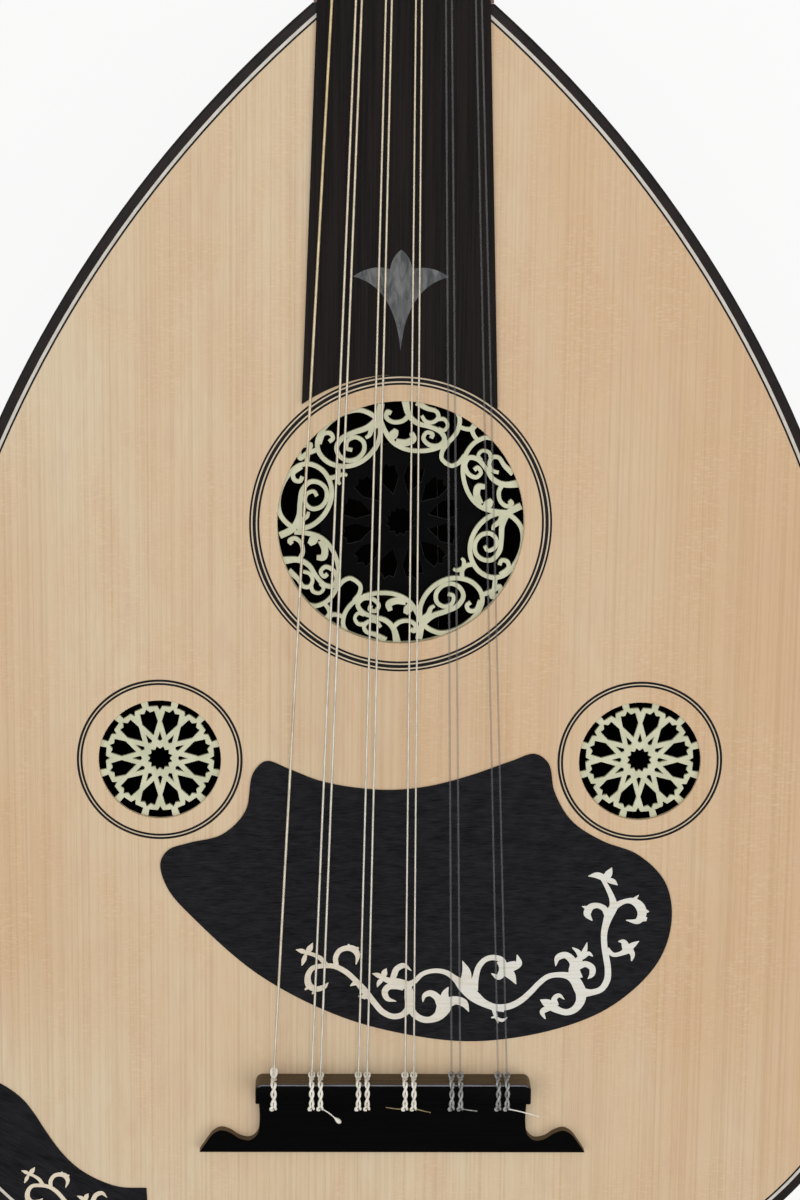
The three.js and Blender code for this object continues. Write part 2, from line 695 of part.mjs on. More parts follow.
// Bridge: a tie block with round-footed ends on a thin plate with moustache tips
const blockShape = new THREE.Shape();
blockShape.moveTo(-bridgeHalfWidth, bridgeBlockHeight);
blockShape.lineTo(-bridgeHalfWidth, bridgeFootRound);
blockShape.quadraticCurveTo(-bridgeHalfWidth, 0, -bridgeHalfWidth + bridgeFootRound, 0);
blockShape.lineTo(bridgeHalfWidth - bridgeFootRound, 0);
blockShape.quadraticCurveTo(bridgeHalfWidth, 0, bridgeHalfWidth, bridgeFootRound);
blockShape.lineTo(bridgeHalfWidth, bridgeBlockHeight);
const tieBlock = solidOf(
  slab(shapeOf(blockShape.getPoints(3).map((p) => [p.x, p.y])), 0, bridgeBlockDepth).rotateX(PI / 2),
).translate([0, 0, 0]);

// Half of the plate's edge, as shares of the moustache's reach past the block and of the plate's depth
const moustacheShares = [
  [-0.05, 0.25], [-0.07, 0.6], [-0.03, 0.76], [0.1, 0.84], [0.28, 0.82],
  [0.46, 0.74], [0.62, 0.71], [0.76, 0.76], [0.88, 0.87], [1, 1],
];
const moustacheReach = bridgeTipHalfWidth - bridgeHalfWidth;
const plateHalf = moustacheShares.map(([across, back]) =>
  [bridgeHalfWidth + across * moustacheReach, -back * bridgePlateDepth]);
const bridgePlate = solidOf(slab(shapeOf(plateHalf.concat(mirrored(plateHalf))), 0, bridgePlateHeight));
const tieHoles = bridgePlaces.map((x) => solidOf(
  new THREE.CylinderGeometry(tieHoleRadius, tieHoleRadius, 2 * (bridgeBlockDepth + overrun), tieHoleSides)
    .translate(x, -bridgeBlockDepth / 2, stringHeightAtBridge),
));
const bridge = tieBlock.add(bridgePlate).subtract(wasm.Manifold.union(tieHoles));
addPiece(body, 'bridge', geometryOf(bridge), blackWood);

// Pickguard: outline as shares of its width and height from its lower bass corner
const pickguardShares = [
  [0.0, 0.62], [0.015, 0.665], [0.055, 0.69], [0.12, 0.72], [0.165, 0.8], [0.18, 0.93], [0.205, 0.972],
  [0.25, 0.945], [0.31, 0.905], [0.38, 0.882], [0.45, 0.875], [0.52, 0.888], [0.6, 0.925], [0.68, 0.975],
  [0.725, 1.0], [0.752, 0.968], [0.765, 0.87], [0.8, 0.77], [0.86, 0.702], [0.93, 0.655], [0.985, 0.56],
  [1.0, 0.43], [0.975, 0.28], [0.89, 0.13], [0.78, 0.045], [0.62, 0.0], [0.48, 0.025], [0.34, 0.095],
  [0.19, 0.235], [0.07, 0.42], [0.015, 0.53],
];
const inPickguard = ([x, y]) => [pickguardLeft + x * pickguardWidth, pickguardBottom + y * pickguardHeight];
const pickguardCurve = new THREE.CatmullRomCurve3(
  pickguardShares.map(inPickguard).map(([x, y]) => new THREE.Vector3(x, y, 0)), true, 'centripetal');
const pickguardPoints = pickguardCurve.getPoints(2 * pickguardShares.length).slice(0, -1);
const pickguardShape = shapeOf(pickguardPoints.map((p) => [p.x, p.y]));
addPiece(body, 'pickguard', slab(pickguardShape, 0, pickguardThickness), blackGrained);

// Joins flat strokes into one thin veneer
const vineSamplesPerPoint = 1.3;

function veneer(strokes, place, unit, low, high) {
  const solids = strokes.map(({ at, widths }) => {
    const samples = Math.round(vineSamplesPerPoint * at.length);
    const outline = strokeOutline(at.map(place), widths.map((width) => width * unit), samples);
    return solidOf(slab(shapeOf(outline), low, high));
  });
  return geometryOf(wasm.Manifold.union(solids));
}

// Vine on the pickguard, in the same shares, widths as shares of its width: first the sprig, then the rest
const sprigShares = [
  { at: [[0.324, 0.267], [0.296, 0.306], [0.264, 0.322]], widths: [0.01, 0.008, 0.001] },
  { at: [[0.285, 0.312], [0.291, 0.325], [0.297, 0.346]], widths: [0.006, 0.012, 0.001] },
  { at: [[0.328, 0.207], [0.29, 0.198], [0.297, 0.257], [0.339, 0.264], [0.382, 0.213],
      [0.416, 0.142], [0.455, 0.088], [0.486, 0.116], [0.484, 0.196]],
    widths: [0.001, 0.013, 0.01, 0.01, 0.011, 0.013, 0.011, 0.015, 0.013] },
  { at: [[0.344, 0.262], [0.35, 0.319], [0.378, 0.323], [0.382, 0.27]],
    widths: [0.01, 0.01, 0.013, 0.002] },
  { at: [[0.484, 0.196], [0.449, 0.213], [0.414, 0.239]], widths: [0.018, 0.013, 0.001] },
  { at: [[0.451, 0.208], [0.462, 0.255], [0.491, 0.249]], widths: [0.008, 0.012, 0.001] },
  { at: [[0.476, 0.189], [0.446, 0.192], [0.444, 0.151], [0.462, 0.141]],
    widths: [0.012, 0.013, 0.012, 0.001] },
];
const vineShares = [
  ...sprigShares,
  { at: [[0.482, 0.196], [0.513, 0.238], [0.559, 0.243], [0.592, 0.199], [0.635, 0.135], [0.675, 0.115]],
    widths: [0.015, 0.009, 0.01, 0.023, 0.015, 0.013] },
  { at: [[0.597, 0.197], [0.599, 0.244], [0.591, 0.284]], widths: [0.023, 0.017, 0.001] },
  { at: [[0.611, 0.183], [0.623, 0.263], [0.652, 0.296], [0.674, 0.263]],
    widths: [0.023, 0.011, 0.011, 0.013] },
  { at: [[0.487, 0.128], [0.514, 0.078], [0.546, 0.092], [0.562, 0.145]],
    widths: [0.015, 0.013, 0.021, 0.021] },
  { at: [[0.549, 0.128], [0.528, 0.17], [0.514, 0.139]], widths: [0.015, 0.012, 0.002] },
  { at: [[0.56, 0.135], [0.595, 0.135], [0.605, 0.105]], widths: [0.023, 0.015, 0.001] },
  { at: [[0.663, 0.284], [0.669, 0.244], [0.648, 0.24]], widths: [0.011, 0.015, 0.001] },
  { at: [[0.669, 0.251], [0.701, 0.276], [0.698, 0.306]], widths: [0.022, 0.015, 0.001] },
  { at: [[0.674, 0.255], [0.697, 0.203]], widths: [0.022, 0.001] },
  { at: [[0.635, 0.137], [0.667, 0.12], [0.707, 0.145], [0.741, 0.204], [0.779, 0.236],
      [0.812, 0.218], [0.826, 0.173]],
    widths: [0.013, 0.013, 0.011, 0.011, 0.011, 0.02, 0.022] },
  { at: [[0.826, 0.173], [0.813, 0.114], [0.78, 0.112], [0.745, 0.148]],
    widths: [0.022, 0.015, 0.014, 0.001] },
  { at: [[0.775, 0.112], [0.782, 0.163], [0.793, 0.149]], widths: [0.016, 0.008, 0.001] },
  { at: [[0.764, 0.121], [0.75, 0.105], [0.756, 0.08]], widths: [0.012, 0.011, 0.002] },
  { at: [[0.815, 0.222], [0.815, 0.276], [0.835, 0.35]], widths: [0.027, 0.02, 0.001] },
  { at: [[0.811, 0.254], [0.793, 0.305], [0.774, 0.266]], widths: [0.015, 0.013, 0.001] },
  { at: [[0.817, 0.265], [0.846, 0.26], [0.838, 0.222]], widths: [0.015, 0.012, 0.001] },
  { at: [[0.825, 0.173], [0.865, 0.186], [0.877, 0.258], [0.869, 0.339], [0.872, 0.419], [0.885, 0.473]],
    widths: [0.022, 0.012, 0.012, 0.012, 0.014, 0.017] },
  { at: [[0.874, 0.326], [0.903, 0.312], [0.937, 0.355]], widths: [0.011, 0.01, 0.001] },
  { at: [[0.875, 0.442], [0.853, 0.479], [0.834, 0.45], [0.844, 0.426]],
    widths: [0.014, 0.011, 0.015, 0.001] },
  { at: [[0.882, 0.464], [0.91, 0.495], [0.938, 0.473], [0.933, 0.425], [0.91, 0.428]],
    widths: [0.015, 0.01, 0.018, 0.012, 0.001] },
  { at: [[0.886, 0.473], [0.874, 0.535], [0.863, 0.575]], widths: [0.017, 0.01, 0.012] },
  { at: [[0.868, 0.573], [0.834, 0.581]], widths: [0.012, 0.001] },
  { at: [[0.867, 0.57], [0.88, 0.611]], widths: [0.011, 0.001] },
];
const veneerTop = pickguardThickness + veneerThickness;
addPiece(body, 'pickguard_vine',
  veneer(vineShares, inPickguard, pickguardWidth, pickguardThickness, veneerTop), paleWood);

// Arm guard: along the purfling at the bass side of the tail, with an ogee inner edge
const guardInset = bindingWidth + purflingWidth;
const guardRim = outlineHalf(guardInset, jointY, 0, outlineSteps.map((steps) => 3 * steps))
  .filter(([x, y]) => -x < armGuardRight && y < armGuardTop)
  .map(([x, y]) => [-x, y]);
const guardTail = guardRim[0];
const guardHead = guardRim[guardRim.length - 1];
const guardEdgeShares = [
  [0.12, 0], [0.24, 0.01], [0.33, 0.043], [0.42, 0.114], [0.473, 0.186], [0.525, 0.277], [0.583, 0.369],
  [0.635, 0.434], [0.694, 0.487], [0.771, 0.533], [0.86, 0.565], [0.98, 0.57],
];
const inGuard = ([x, y]) => [
  guardHead[0] + x * (guardTail[0] - guardHead[0]),
  guardHead[1] + y * (guardTail[1] - guardHead[1]),
];
const guardCourse = [guardHead, ...guardEdgeShares.map(inGuard)];
const guardEdge = smoothPath(guardCourse, 2 * guardEdgeShares.length).slice(1);
const guardShape = shapeOf(guardRim.concat(guardEdge));
addPiece(body, 'arm_guard', slab(guardShape, 0, armGuardThickness), blackGrained);

// The arm guard repeats the sprig, smaller and turned, from the tip of its first leaf
const sprigTip = inPickguard(sprigShares[0].at.at(-1));
const inSprig = (place) => {
  const [x, y] = inPickguard(place);
  const across = (x - sprigTip[0]) * guardSprigScaleShare;
  const along = (y - sprigTip[1]) * guardSprigScaleShare;
  return [
    guardSprigX + across * cos(guardSprigTurn) + along * sin(guardSprigTurn),
    guardSprigY - across * sin(guardSprigTurn) + along * cos(guardSprigTurn),
  ];
};
const guardSprigUnit = pickguardWidth * guardSprigScaleShare;
const guardVineTop = armGuardThickness + veneerThickness;
addPiece(body, 'arm_guard_vine',
  veneer(sprigShares, inSprig, guardSprigUnit, armGuardThickness, guardVineTop), paleWood);

// Pegbox in its own frame: +Y down its length, +Z out of its open side, origin at the nut's back
const pegbox = new THREE.Group();
pegbox.position.set(0, nutBackY + seatGap * cos(pegboxAngle), -seatGap * sin(pegboxAngle));
pegbox.rotation.x = -pegboxAngle;
body.add(pegbox);

const pegboxStartDepth = neckDepthAtNut / cos(pegboxAngle);
const pegboxDepthAt = (s) => pegboxStartDepth + (pegboxTipDepth - pegboxStartDepth) * (s / pegboxLength);
const pegboxBowAt = (s) => -4 * pegboxBow * (s / pegboxLength) * (1 - s / pegboxLength);
const pegboxHalfWidthAt = (s) =>
  fingerboardHalfWidthAtNut + (pegboxTipHalfWidth - fingerboardHalfWidthAtNut) * (s / pegboxLength);
const pegPlaces = Array.from({ length: pegCount }, (_, i) => {
  const s = firstPegPlace + i * pegSpacing;
  return { s, z: pegboxBowAt(s) - pegboxDepthAt(s) / 2, side: i % 2 ? 1 : -1 };
});

// A board along the pegbox: it runs between two depths and between two half widths
function pegboxBoard(from, to, topAt, bottomAt, innerAt, outerAt) {
  const rings = Array.from({ length: pegboxSteps + 1 }, (_, i) => {
    const s = from + ((to - from) * i) / pegboxSteps;
    return [
      new THREE.Vector3(innerAt(s), s, topAt(s)),
      new THREE.Vector3(outerAt(s), s, topAt(s)),
      new THREE.Vector3(outerAt(s), s, bottomAt(s)),
      new THREE.Vector3(innerAt(s), s, bottomAt(s)),
    ];
  });
  return solidOf(loft(rings));
}

const backAt = (s) => pegboxBowAt(s) - pegboxDepthAt(s);
const backInsideAt = (s) => backAt(s) + pegboxBackThickness;
const pegRadiusAt = (x, side, s) => {
  const reach = 2 * pegboxHalfWidthAt(s);
  const share = (pegboxHalfWidthAt(s) - side * x) / reach;
  return pegHeadRadius + (pegTipRadius - pegHeadRadius) * share;
};

function cheekGeometry(side) {
  const outerAt = (s) => side * pegboxHalfWidthAt(s);
  const innerAt = (s) => side * (pegboxHalfWidthAt(s) - cheekThickness);
  const board = pegboxBoard(0, pegboxLength, pegboxBowAt, (s) => backInsideAt(s) + seatGap, innerAt, outerAt);
  const bores = pegPlaces.map((peg) => {
    const radius = pegRadiusAt(outerAt(peg.s), peg.side, peg.s) + pegHoleClearance;
    const length = 2 * (cheekThickness + overrun);
    return solidOf(new THREE.CylinderGeometry(radius, radius, length, 2 * pegSides)
      .rotateZ(PI / 2)
      .translate((innerAt(peg.s) + outerAt(peg.s)) / 2, peg.s, peg.z));
  });
  return geometryOf(board.subtract(wasm.Manifold.union(bores)));
}

addPiece(pegbox, 'pegbox_cheek_bass', cheekGeometry(-1), neckWood);
addPiece(pegbox, 'pegbox_cheek_treble', cheekGeometry(1), neckWood);

// Back of the pegbox, with the heel block behind the neck and the end block at the tip
const backLeftAt = (s) => -pegboxHalfWidthAt(s);
const backBoard = pegboxBoard(0, pegboxLength, backInsideAt, backAt, backLeftAt, pegboxHalfWidthAt);
const insideAt = (s) => pegboxHalfWidthAt(s) - cheekThickness - seatGap;
const insideLeftAt = (s) => -insideAt(s);
const joinAt = (s) => (backAt(s) + backInsideAt(s)) / 2;
const heelBlock = pegboxBoard(0, heelBlockLength, () => -heelBlockDrop, joinAt, insideLeftAt, insideAt);
const endBlockStart = pegboxLength - endBlockLength;
const endBlock = pegboxBoard(endBlockStart, pegboxLength, pegboxBowAt, joinAt, insideLeftAt, insideAt);
addPiece(pegbox, 'pegbox_back', geometryOf(backBoard.add(heelBlock).add(endBlock)), neckWood);

// Pegs: a tapered shank through both cheeks, a collar, a waist and a flat oval thumb
const thumbShares = [
  [0, 0.33, 0.86], [0.14, 0.72, 0.97], [0.38, 1, 1], [0.66, 0.93, 0.9], [0.88, 0.62, 0.7], [1, 0.24, 0.4],
];

function pegGeometry({ s, side }, turn) {
  const out = pegboxHalfWidthAt(s);
  const collar = out + pegCollarStand;
  const waist = collar + pegCollarWidth + pegWaistLength;
  const round = (x, radius) => [x, radius, radius];
  const sections = [
    round(-out - pegTipStand, pegTipRadius),
    round(out, pegHeadRadius),
    round(collar, pegHeadRadius),
    round(collar, pegCollarRadius),
    round(collar + pegCollarWidth, pegCollarRadius),
    round(collar + pegCollarWidth, pegWaistRadius),
    ...thumbShares.map(([along, width, depth]) =>
      [waist + along * pegThumbLength, width * pegThumbHalfWidth, depth * pegThumbHalfDepth]),
  ];
  return loft(sections.map(([x, width, depth]) => Array.from({ length: pegSides }, (_, k) => {
    const angle = (2 * PI * k) / pegSides;
    const [a, b] = [width * cos(angle), depth * sin(angle)];
    return new THREE.Vector3(side * x, a * cos(turn) - b * sin(turn), a * sin(turn) + b * cos(turn));
  })));
}

pegPlaces.forEach((peg, i) => {
  const mesh = addPiece(pegbox, `peg_${i + 1}`, pegGeometry(peg, i * pegTurnStep), blackWood);
  mesh.position.set(0, peg.s, peg.z);
});

// Strings: from the tie hole over the nut to a peg, where each winds on from the top
const pegOfString = (index) => (2 * index < pegCount ? 2 * index : 2 * (pegCount - index) - 1);

function tube(path, radius, sides) {
  const points = path.map((p) => new THREE.Vector3(...p));
  let across = new THREE.Vector3(1, 0, 0);
  const rings = points.map((point, i) => {
    const before = points[Math.max(i - 1, 0)];
    const after = points[Math.min(i + 1, points.length - 1)];
    const along = after.clone().sub(before).normalize();
    across = across.clone().addScaledVector(along, -across.dot(along)).normalize();
    const up = new THREE.Vector3().crossVectors(along, across);
    return Array.from({ length: sides }, (_, k) => {
      const angle = (2 * PI * k) / sides;
      return point.clone()
        .addScaledVector(across, radius * cos(angle))
        .addScaledVector(up, radius * sin(angle));
    });
  });
  return loft(rings);
}

const fromPegbox = (x, s, z) => [
  x,
  pegbox.position.y + s * cos(pegboxAngle) + z * sin(pegboxAngle),
  pegbox.position.z - s * sin(pegboxAngle) + z * cos(pegboxAngle),
];
const toPegbox = (y, z) => [
  (y - pegbox.position.y) * cos(pegboxAngle) - (z - pegbox.position.z) * sin(pegboxAngle),
  (y - pegbox.position.y) * sin(pegboxAngle) + (z - pegbox.position.z) * cos(pegboxAngle),
];

// Where a string leaves the nut it runs straight to the peg's top and goes on round it
function stringPath(index) {
  const radius = stringDiameters[index] / 2;
  const peg = pegPlaces[pegOfString(index)];
  const nutX = nutPlaces[index];
  const landX = nutX * windingLandShare;
  const bendY = nutBackY + radius;
  const [startS, startZ] = toPegbox(bendY, stringHeightAtNut);
  const wound = pegRadiusAt(landX, peg.side, peg.s) + windingGap + radius;
  const distance = hypot(peg.s - startS, peg.z - startZ);
  const heading = atan2(peg.z - startZ, peg.s - startS);
  const landAngle = heading + PI - acos(wound / distance);
  const pitch = 2 * radius + windingSpace;
  const inward = landX > 0 ? -1 : 1;
  const steps = Math.round(windingTurns * windingSteps);
  const coil = Array.from({ length: steps + 1 }, (_, i) => {
    const turned = (2 * PI * i) / windingSteps;
    const angle = landAngle - turned;
    return fromPegbox(
      landX + (inward * pitch * turned) / (2 * PI),
      peg.s + wound * cos(angle),
      peg.z + wound * sin(angle),
    );
  });
  return [
    [bridgePlaces[index], -stringStartDepth, stringHeightAtBridge],
    [bridgePlaces[index], tieHoleRadius, stringHeightAtBridge],
    [nutX, stringLength, stringHeightAtNut],
    [nutX, bendY, stringHeightAtNut],
    ...coil,
  ];
}

// The least space that a coil keeps to its own next turn
function leastGap(path, diameter) {
  const coil = path.slice(4);
  let least = Infinity;
  coil.forEach((a, i) => coil.slice(i + windingSteps / 2).forEach((b) => {
    least = Math.min(least, hypot(a[0] - b[0], a[1] - b[1], a[2] - b[2]) - diameter);
  }));
  return least;
}

const stringLooks = [goldString, ...Array(6).fill(silverString), ...Array(4).fill(clearString)];
const gaps = stringDiameters.map((diameter, i) => {
  const path = stringPath(i);
  addPiece(body, `string_${i + 1}`, tube(path, diameter / 2, stringSides), stringLooks[i]);
  return leastGap(path, diameter);
});
console.log(`least gap between turns on the pegs: ${Math.min(...gaps).toFixed(2)} mm`);

// The origin goes under the middle of the instrument, at the level it lies on
const bounds = new THREE.Box3().setFromObject(oud, true);
const middle = bounds.getCenter(new THREE.Vector3());
body.position.set(-middle.x, -middle.y, -bounds.min.z);

export default oud;
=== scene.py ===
import bmesh
import bpy
import numpy as np
from math import acos, asin, atan2, cos, hypot, pi, radians, sin, sqrt, tan
from mathutils import Matrix, Vector
from mathutils.geometry import delaunay_2d_cdt


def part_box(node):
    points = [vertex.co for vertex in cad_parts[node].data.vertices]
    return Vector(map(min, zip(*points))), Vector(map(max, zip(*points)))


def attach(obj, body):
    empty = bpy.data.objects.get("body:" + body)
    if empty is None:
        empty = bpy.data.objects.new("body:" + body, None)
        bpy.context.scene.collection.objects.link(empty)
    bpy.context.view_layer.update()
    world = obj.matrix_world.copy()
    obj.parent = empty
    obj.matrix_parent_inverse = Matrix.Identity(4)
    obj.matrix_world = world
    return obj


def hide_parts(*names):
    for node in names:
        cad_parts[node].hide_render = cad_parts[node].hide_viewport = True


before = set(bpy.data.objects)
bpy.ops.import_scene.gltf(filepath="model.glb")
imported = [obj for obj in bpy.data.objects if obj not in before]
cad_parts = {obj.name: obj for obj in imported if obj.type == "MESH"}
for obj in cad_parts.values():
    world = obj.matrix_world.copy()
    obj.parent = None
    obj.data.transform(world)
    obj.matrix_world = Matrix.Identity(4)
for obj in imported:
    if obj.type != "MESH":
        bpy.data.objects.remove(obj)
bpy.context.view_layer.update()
scene = bpy.context.scene
print("frame loaded")

# All shape work is in millimetres: x across, y from the bridge's front face to the neck, z up from the
# soundboard's face. placed() turns such points into the frame's metres.
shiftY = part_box("bridge")[1].y * 1000
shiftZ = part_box("soundboard")[1].z * 1000


def placed(points):
    return (np.asarray(points, float) + [0, shiftY, shiftZ]) / 1000


# Camera of the photograph
camera = {"place": (-28, 453.7, 1182.4), "tilt": 13.09, "swing": 1.36, "roll": 0.6, "lens": 102,
          "sensor": 36, "shift": 0.0011, "near": 0.01, "far": 50}


def addCamera():
    tilt, swing, roll = (radians(camera[key]) for key in ("tilt", "swing", "roll"))
    ahead = Vector((sin(swing), -sin(tilt) * cos(swing), -cos(tilt) * cos(swing)))
    up = (Vector((0, 1, 0)) - ahead * ahead.y).normalized()
    right = ahead.cross(up)
    right, up = right * cos(roll) + up * sin(roll), up * cos(roll) - right * sin(roll)
    data = bpy.data.cameras.new("camera")
    data.sensor_width = camera["sensor"]
    data.lens = camera["lens"]
    data.shift_y = camera["shift"]
    data.clip_start, data.clip_end = camera["near"], camera["far"]
    eye = bpy.data.objects.new("camera", data)
    turn = Matrix((right, up, -ahead)).transposed()
    eye.matrix_world = Matrix.Translation(Vector(placed(camera["place"]))) @ turn.to_4x4()
    scene.collection.objects.link(eye)
    scene.camera = eye


addCamera()
print("camera placed")


# Shader maths written as sums: each sum of signals adds its own Math node
class Signal:
    def __init__(self, graph, socket):
        self.graph, self.socket = graph, socket

    def worked(self, operation, first, second):
        return self.graph.add("ShaderNodeMath", {"operation": operation}, {0: first, 1: second})

    def __add__(self, other):
        return self.worked("ADD", self, other)

    __radd__ = __add__

    def __sub__(self, other):
        return self.worked("SUBTRACT", self, other)

    def __mul__(self, other):
        return self.worked("MULTIPLY", self, other)


def tone(red, green, blue):
    # The screen's curve undone: 0 to 255 as seen, to the linear colour that a shader wants
    seen = np.array([red, green, blue]) / 255
    linear = np.where(seen <= 0.04045, seen / 12.92, ((seen + 0.055) / 1.055) ** 2.4)
    return (*linear.tolist(), 1)


class Graph:
    def __init__(self, tree):
        self.tree = tree

    def add(self, kind, settings, values, out=0):  # any node: its settings first, then its sockets
        node = self.tree.nodes.new(kind)
        for key, value in settings.items():
            setattr(node, key, value)
        for key, value in values.items():
            self.feed(node.inputs[key], value)
        return Signal(self, node.outputs[out])

    def feed(self, socket, value):
        if isinstance(value, Signal):
            self.tree.links.new(value.socket, socket)
        else:
            socket.default_value = value

    def coords(self, kind="Object"):
        return self.add("ShaderNodeTexCoord", {}, {}, kind)

    def part(self, coords, axis):  # one of X, Y and Z
        return self.add("ShaderNodeSeparateXYZ", {}, {0: coords}, axis)

    def cells(self, coords, across, along=None, detail=2, bent=0, turn=0):
        # Noise in cells of these sizes in metres, across for x and z and along for y, turned about z
        size = (across, along or across, across)
        place = self.add("ShaderNodeMapping", {"vector_type": "TEXTURE"},
                         {"Vector": coords, "Rotation": (0, 0, turn), "Scale": size})
        return self.add("ShaderNodeTexNoise", {},
                        {"Vector": place, "Scale": 1, "Detail": detail, "Distortion": bent})

    def band(self, value, low, high):  # 0 below low, 1 above high
        return self.add("ShaderNodeMapRange", {"clamp": True},
                        {"Value": value, "From Min": low, "From Max": high})

    def mix(self, first, second, factor):
        return self.add("ShaderNodeMix", {"data_type": "RGBA"}, {0: factor, 6: first, 7: second}, 2)

    def straight(self):  # 1 on what the camera sees itself, in a mirror or through glass
        kinds = ("Is Camera Ray", "Is Glossy Ray", "Is Transmission Ray")
        direct, mirrored, through = (self.add("ShaderNodeLightPath", {}, {}, kind) for kind in kinds)
        return self.band(direct + mirrored + through, 0, 1)


class Paint(Graph):
    def __init__(self, name, roughness=0.5, **constants):
        self.material = bpy.data.materials.new(name)
        self.material.use_nodes = True
        super().__init__(self.material.node_tree)
        self.shader = self.tree.nodes["Principled BSDF"]
        self.shader.inputs["Roughness"].default_value = roughness
        for key, value in constants.items():
            self.shader.inputs[key.replace("_", " ")].default_value = value

    def surface(self, colour, roughness=None, height=None, depth=0.0001):
        self.feed(self.shader.inputs["Base Color"], colour)
        if roughness is not None:
            self.feed(self.shader.inputs["Roughness"], roughness)
        if height is not None:
            normal = self.add("ShaderNodeBump", {}, {"Strength": 1, "Distance": depth, "Height": height})
            self.feed(self.shader.inputs["Normal"], normal)
        return self.material


# Layers of noise: size across the grain and along it, detail, and how far it is bent. Wood's sizes are
# shares of the grain that is asked for; the others are in metres.
wood = {"lines": (1, 1, 3, 0.3), "broad": (7, 1.6), "pores": (0.3, 0.05), "depth": 0.00006}
spruce = {"rings": (0.0008, 0.5, 1, 0.1), "wide": (0.006, 0.35), "zones": (0.05, 0.16, 2, 0.4),
          "patches": (0.018, 0.05, 3, 0.8), "blush": (0.007, 0.02, 2, 0.6), "fibres": (0.0003, 0.01),
          "silk": (0.0024, 0.0006), "pale": (222, 202, 171), "warm": (216, 182, 144),
          "blushTone": (213, 178, 152), "lineTone": (184, 148, 108), "silkTone": (228, 204, 172),
          "halfWidth": 0.14, "flankX": (-0.095, -0.14), "flankStart": (0, 0.05), "flankEnd": (0.25, 0.19),
          "paleBelow": (-0.05, 0.02), "depth": 0.00003}
pearl = {"clouds": (0.0035, 0.011, 3, 1.4), "flecks": (0.0006, 0.004, 2, 0.6), "dark": (49, 51, 54),
         "light": (101, 102, 101), "fleckTone": (150, 150, 146), "depth": 0.00002}
vineWood = {"grain": (0.014, 0.0008), "pale": (229, 227, 218), "warm": (231, 217, 194),
            "grainTone": (206, 190, 160), "warmFrom": (0.04, -0.05), "depth": 0.00003}
wire = {"ripple": 0.0002, "cell": 0.004, "warmFrom": (0.16, 0.36), "depth": 0.00002}


def paintWood(name, light, dark, grain, turn=0, source="Object", roughness=0.5, **constants):
    # Grain lines are noise drawn long along the board, over broader bands; pores are finer noise
    paint = Paint(name, roughness, **constants)
    coords = paint.coords(source)
    width, length = grain
    layers = [wood[key] for key in ("lines", "broad", "pores")]
    lines, broad, pores = (paint.cells(coords, width * across, length * along, *rest, turn=turn)
                           for across, along, *rest in layers)
    mask = paint.band(lines, 0.36, 0.66) * 0.6 + paint.band(broad, 0.3, 0.7) * 0.4
    colour = paint.mix(tone(*light), tone(*dark), paint.band(mask + (pores - 0.5) * 0.35, 0, 1))
    return paint.surface(colour, roughness + (pores - 0.5) * 0.25, lines * 0.5 + pores, wood["depth"])


def paintPlain(name, base, other, cell=0.01, roughness=0.4, depth=0.00002, **constants):
    # A nearly even finish: a slow change of tone, and cells a twentieth as large in the gloss
    paint = Paint(name, roughness, **constants)
    coords = paint.coords()
    slow, fine = paint.cells(coords, cell), paint.cells(coords, cell / 20)
    colour = paint.mix(tone(*base), tone(*other), paint.band(slow, 0.35, 0.65))
    return paint.surface(colour, roughness + (fine - 0.5) * 0.2, fine, depth)


def paintWound(name, base, dark, warm, share, roughness):
    # Wire wound round a core: a fine ripple along the string's own length, which is the map's first value.
    # The wire turns more golden from the sound hole to the nut.
    paint = Paint(name, roughness, Metallic=0.5)
    along = paint.part(paint.coords("UV"), "X")
    wave = paint.add("ShaderNodeMath", {"operation": "SINE"}, {0: along * (2 * pi / wire["ripple"])})
    ripple = wave * 0.5 + 0.5
    slow = paint.cells(paint.coords(), wire["cell"])
    colour = paint.mix(tone(*base), tone(*warm), paint.band(along, *wire["warmFrom"]) * share)
    colour = paint.mix(tone(*dark), colour, paint.band(ripple * 0.5 + slow * 0.6, 0.2, 0.7))
    return paint.surface(colour, roughness + (slow - 0.5) * 0.2, ripple, wire["depth"])


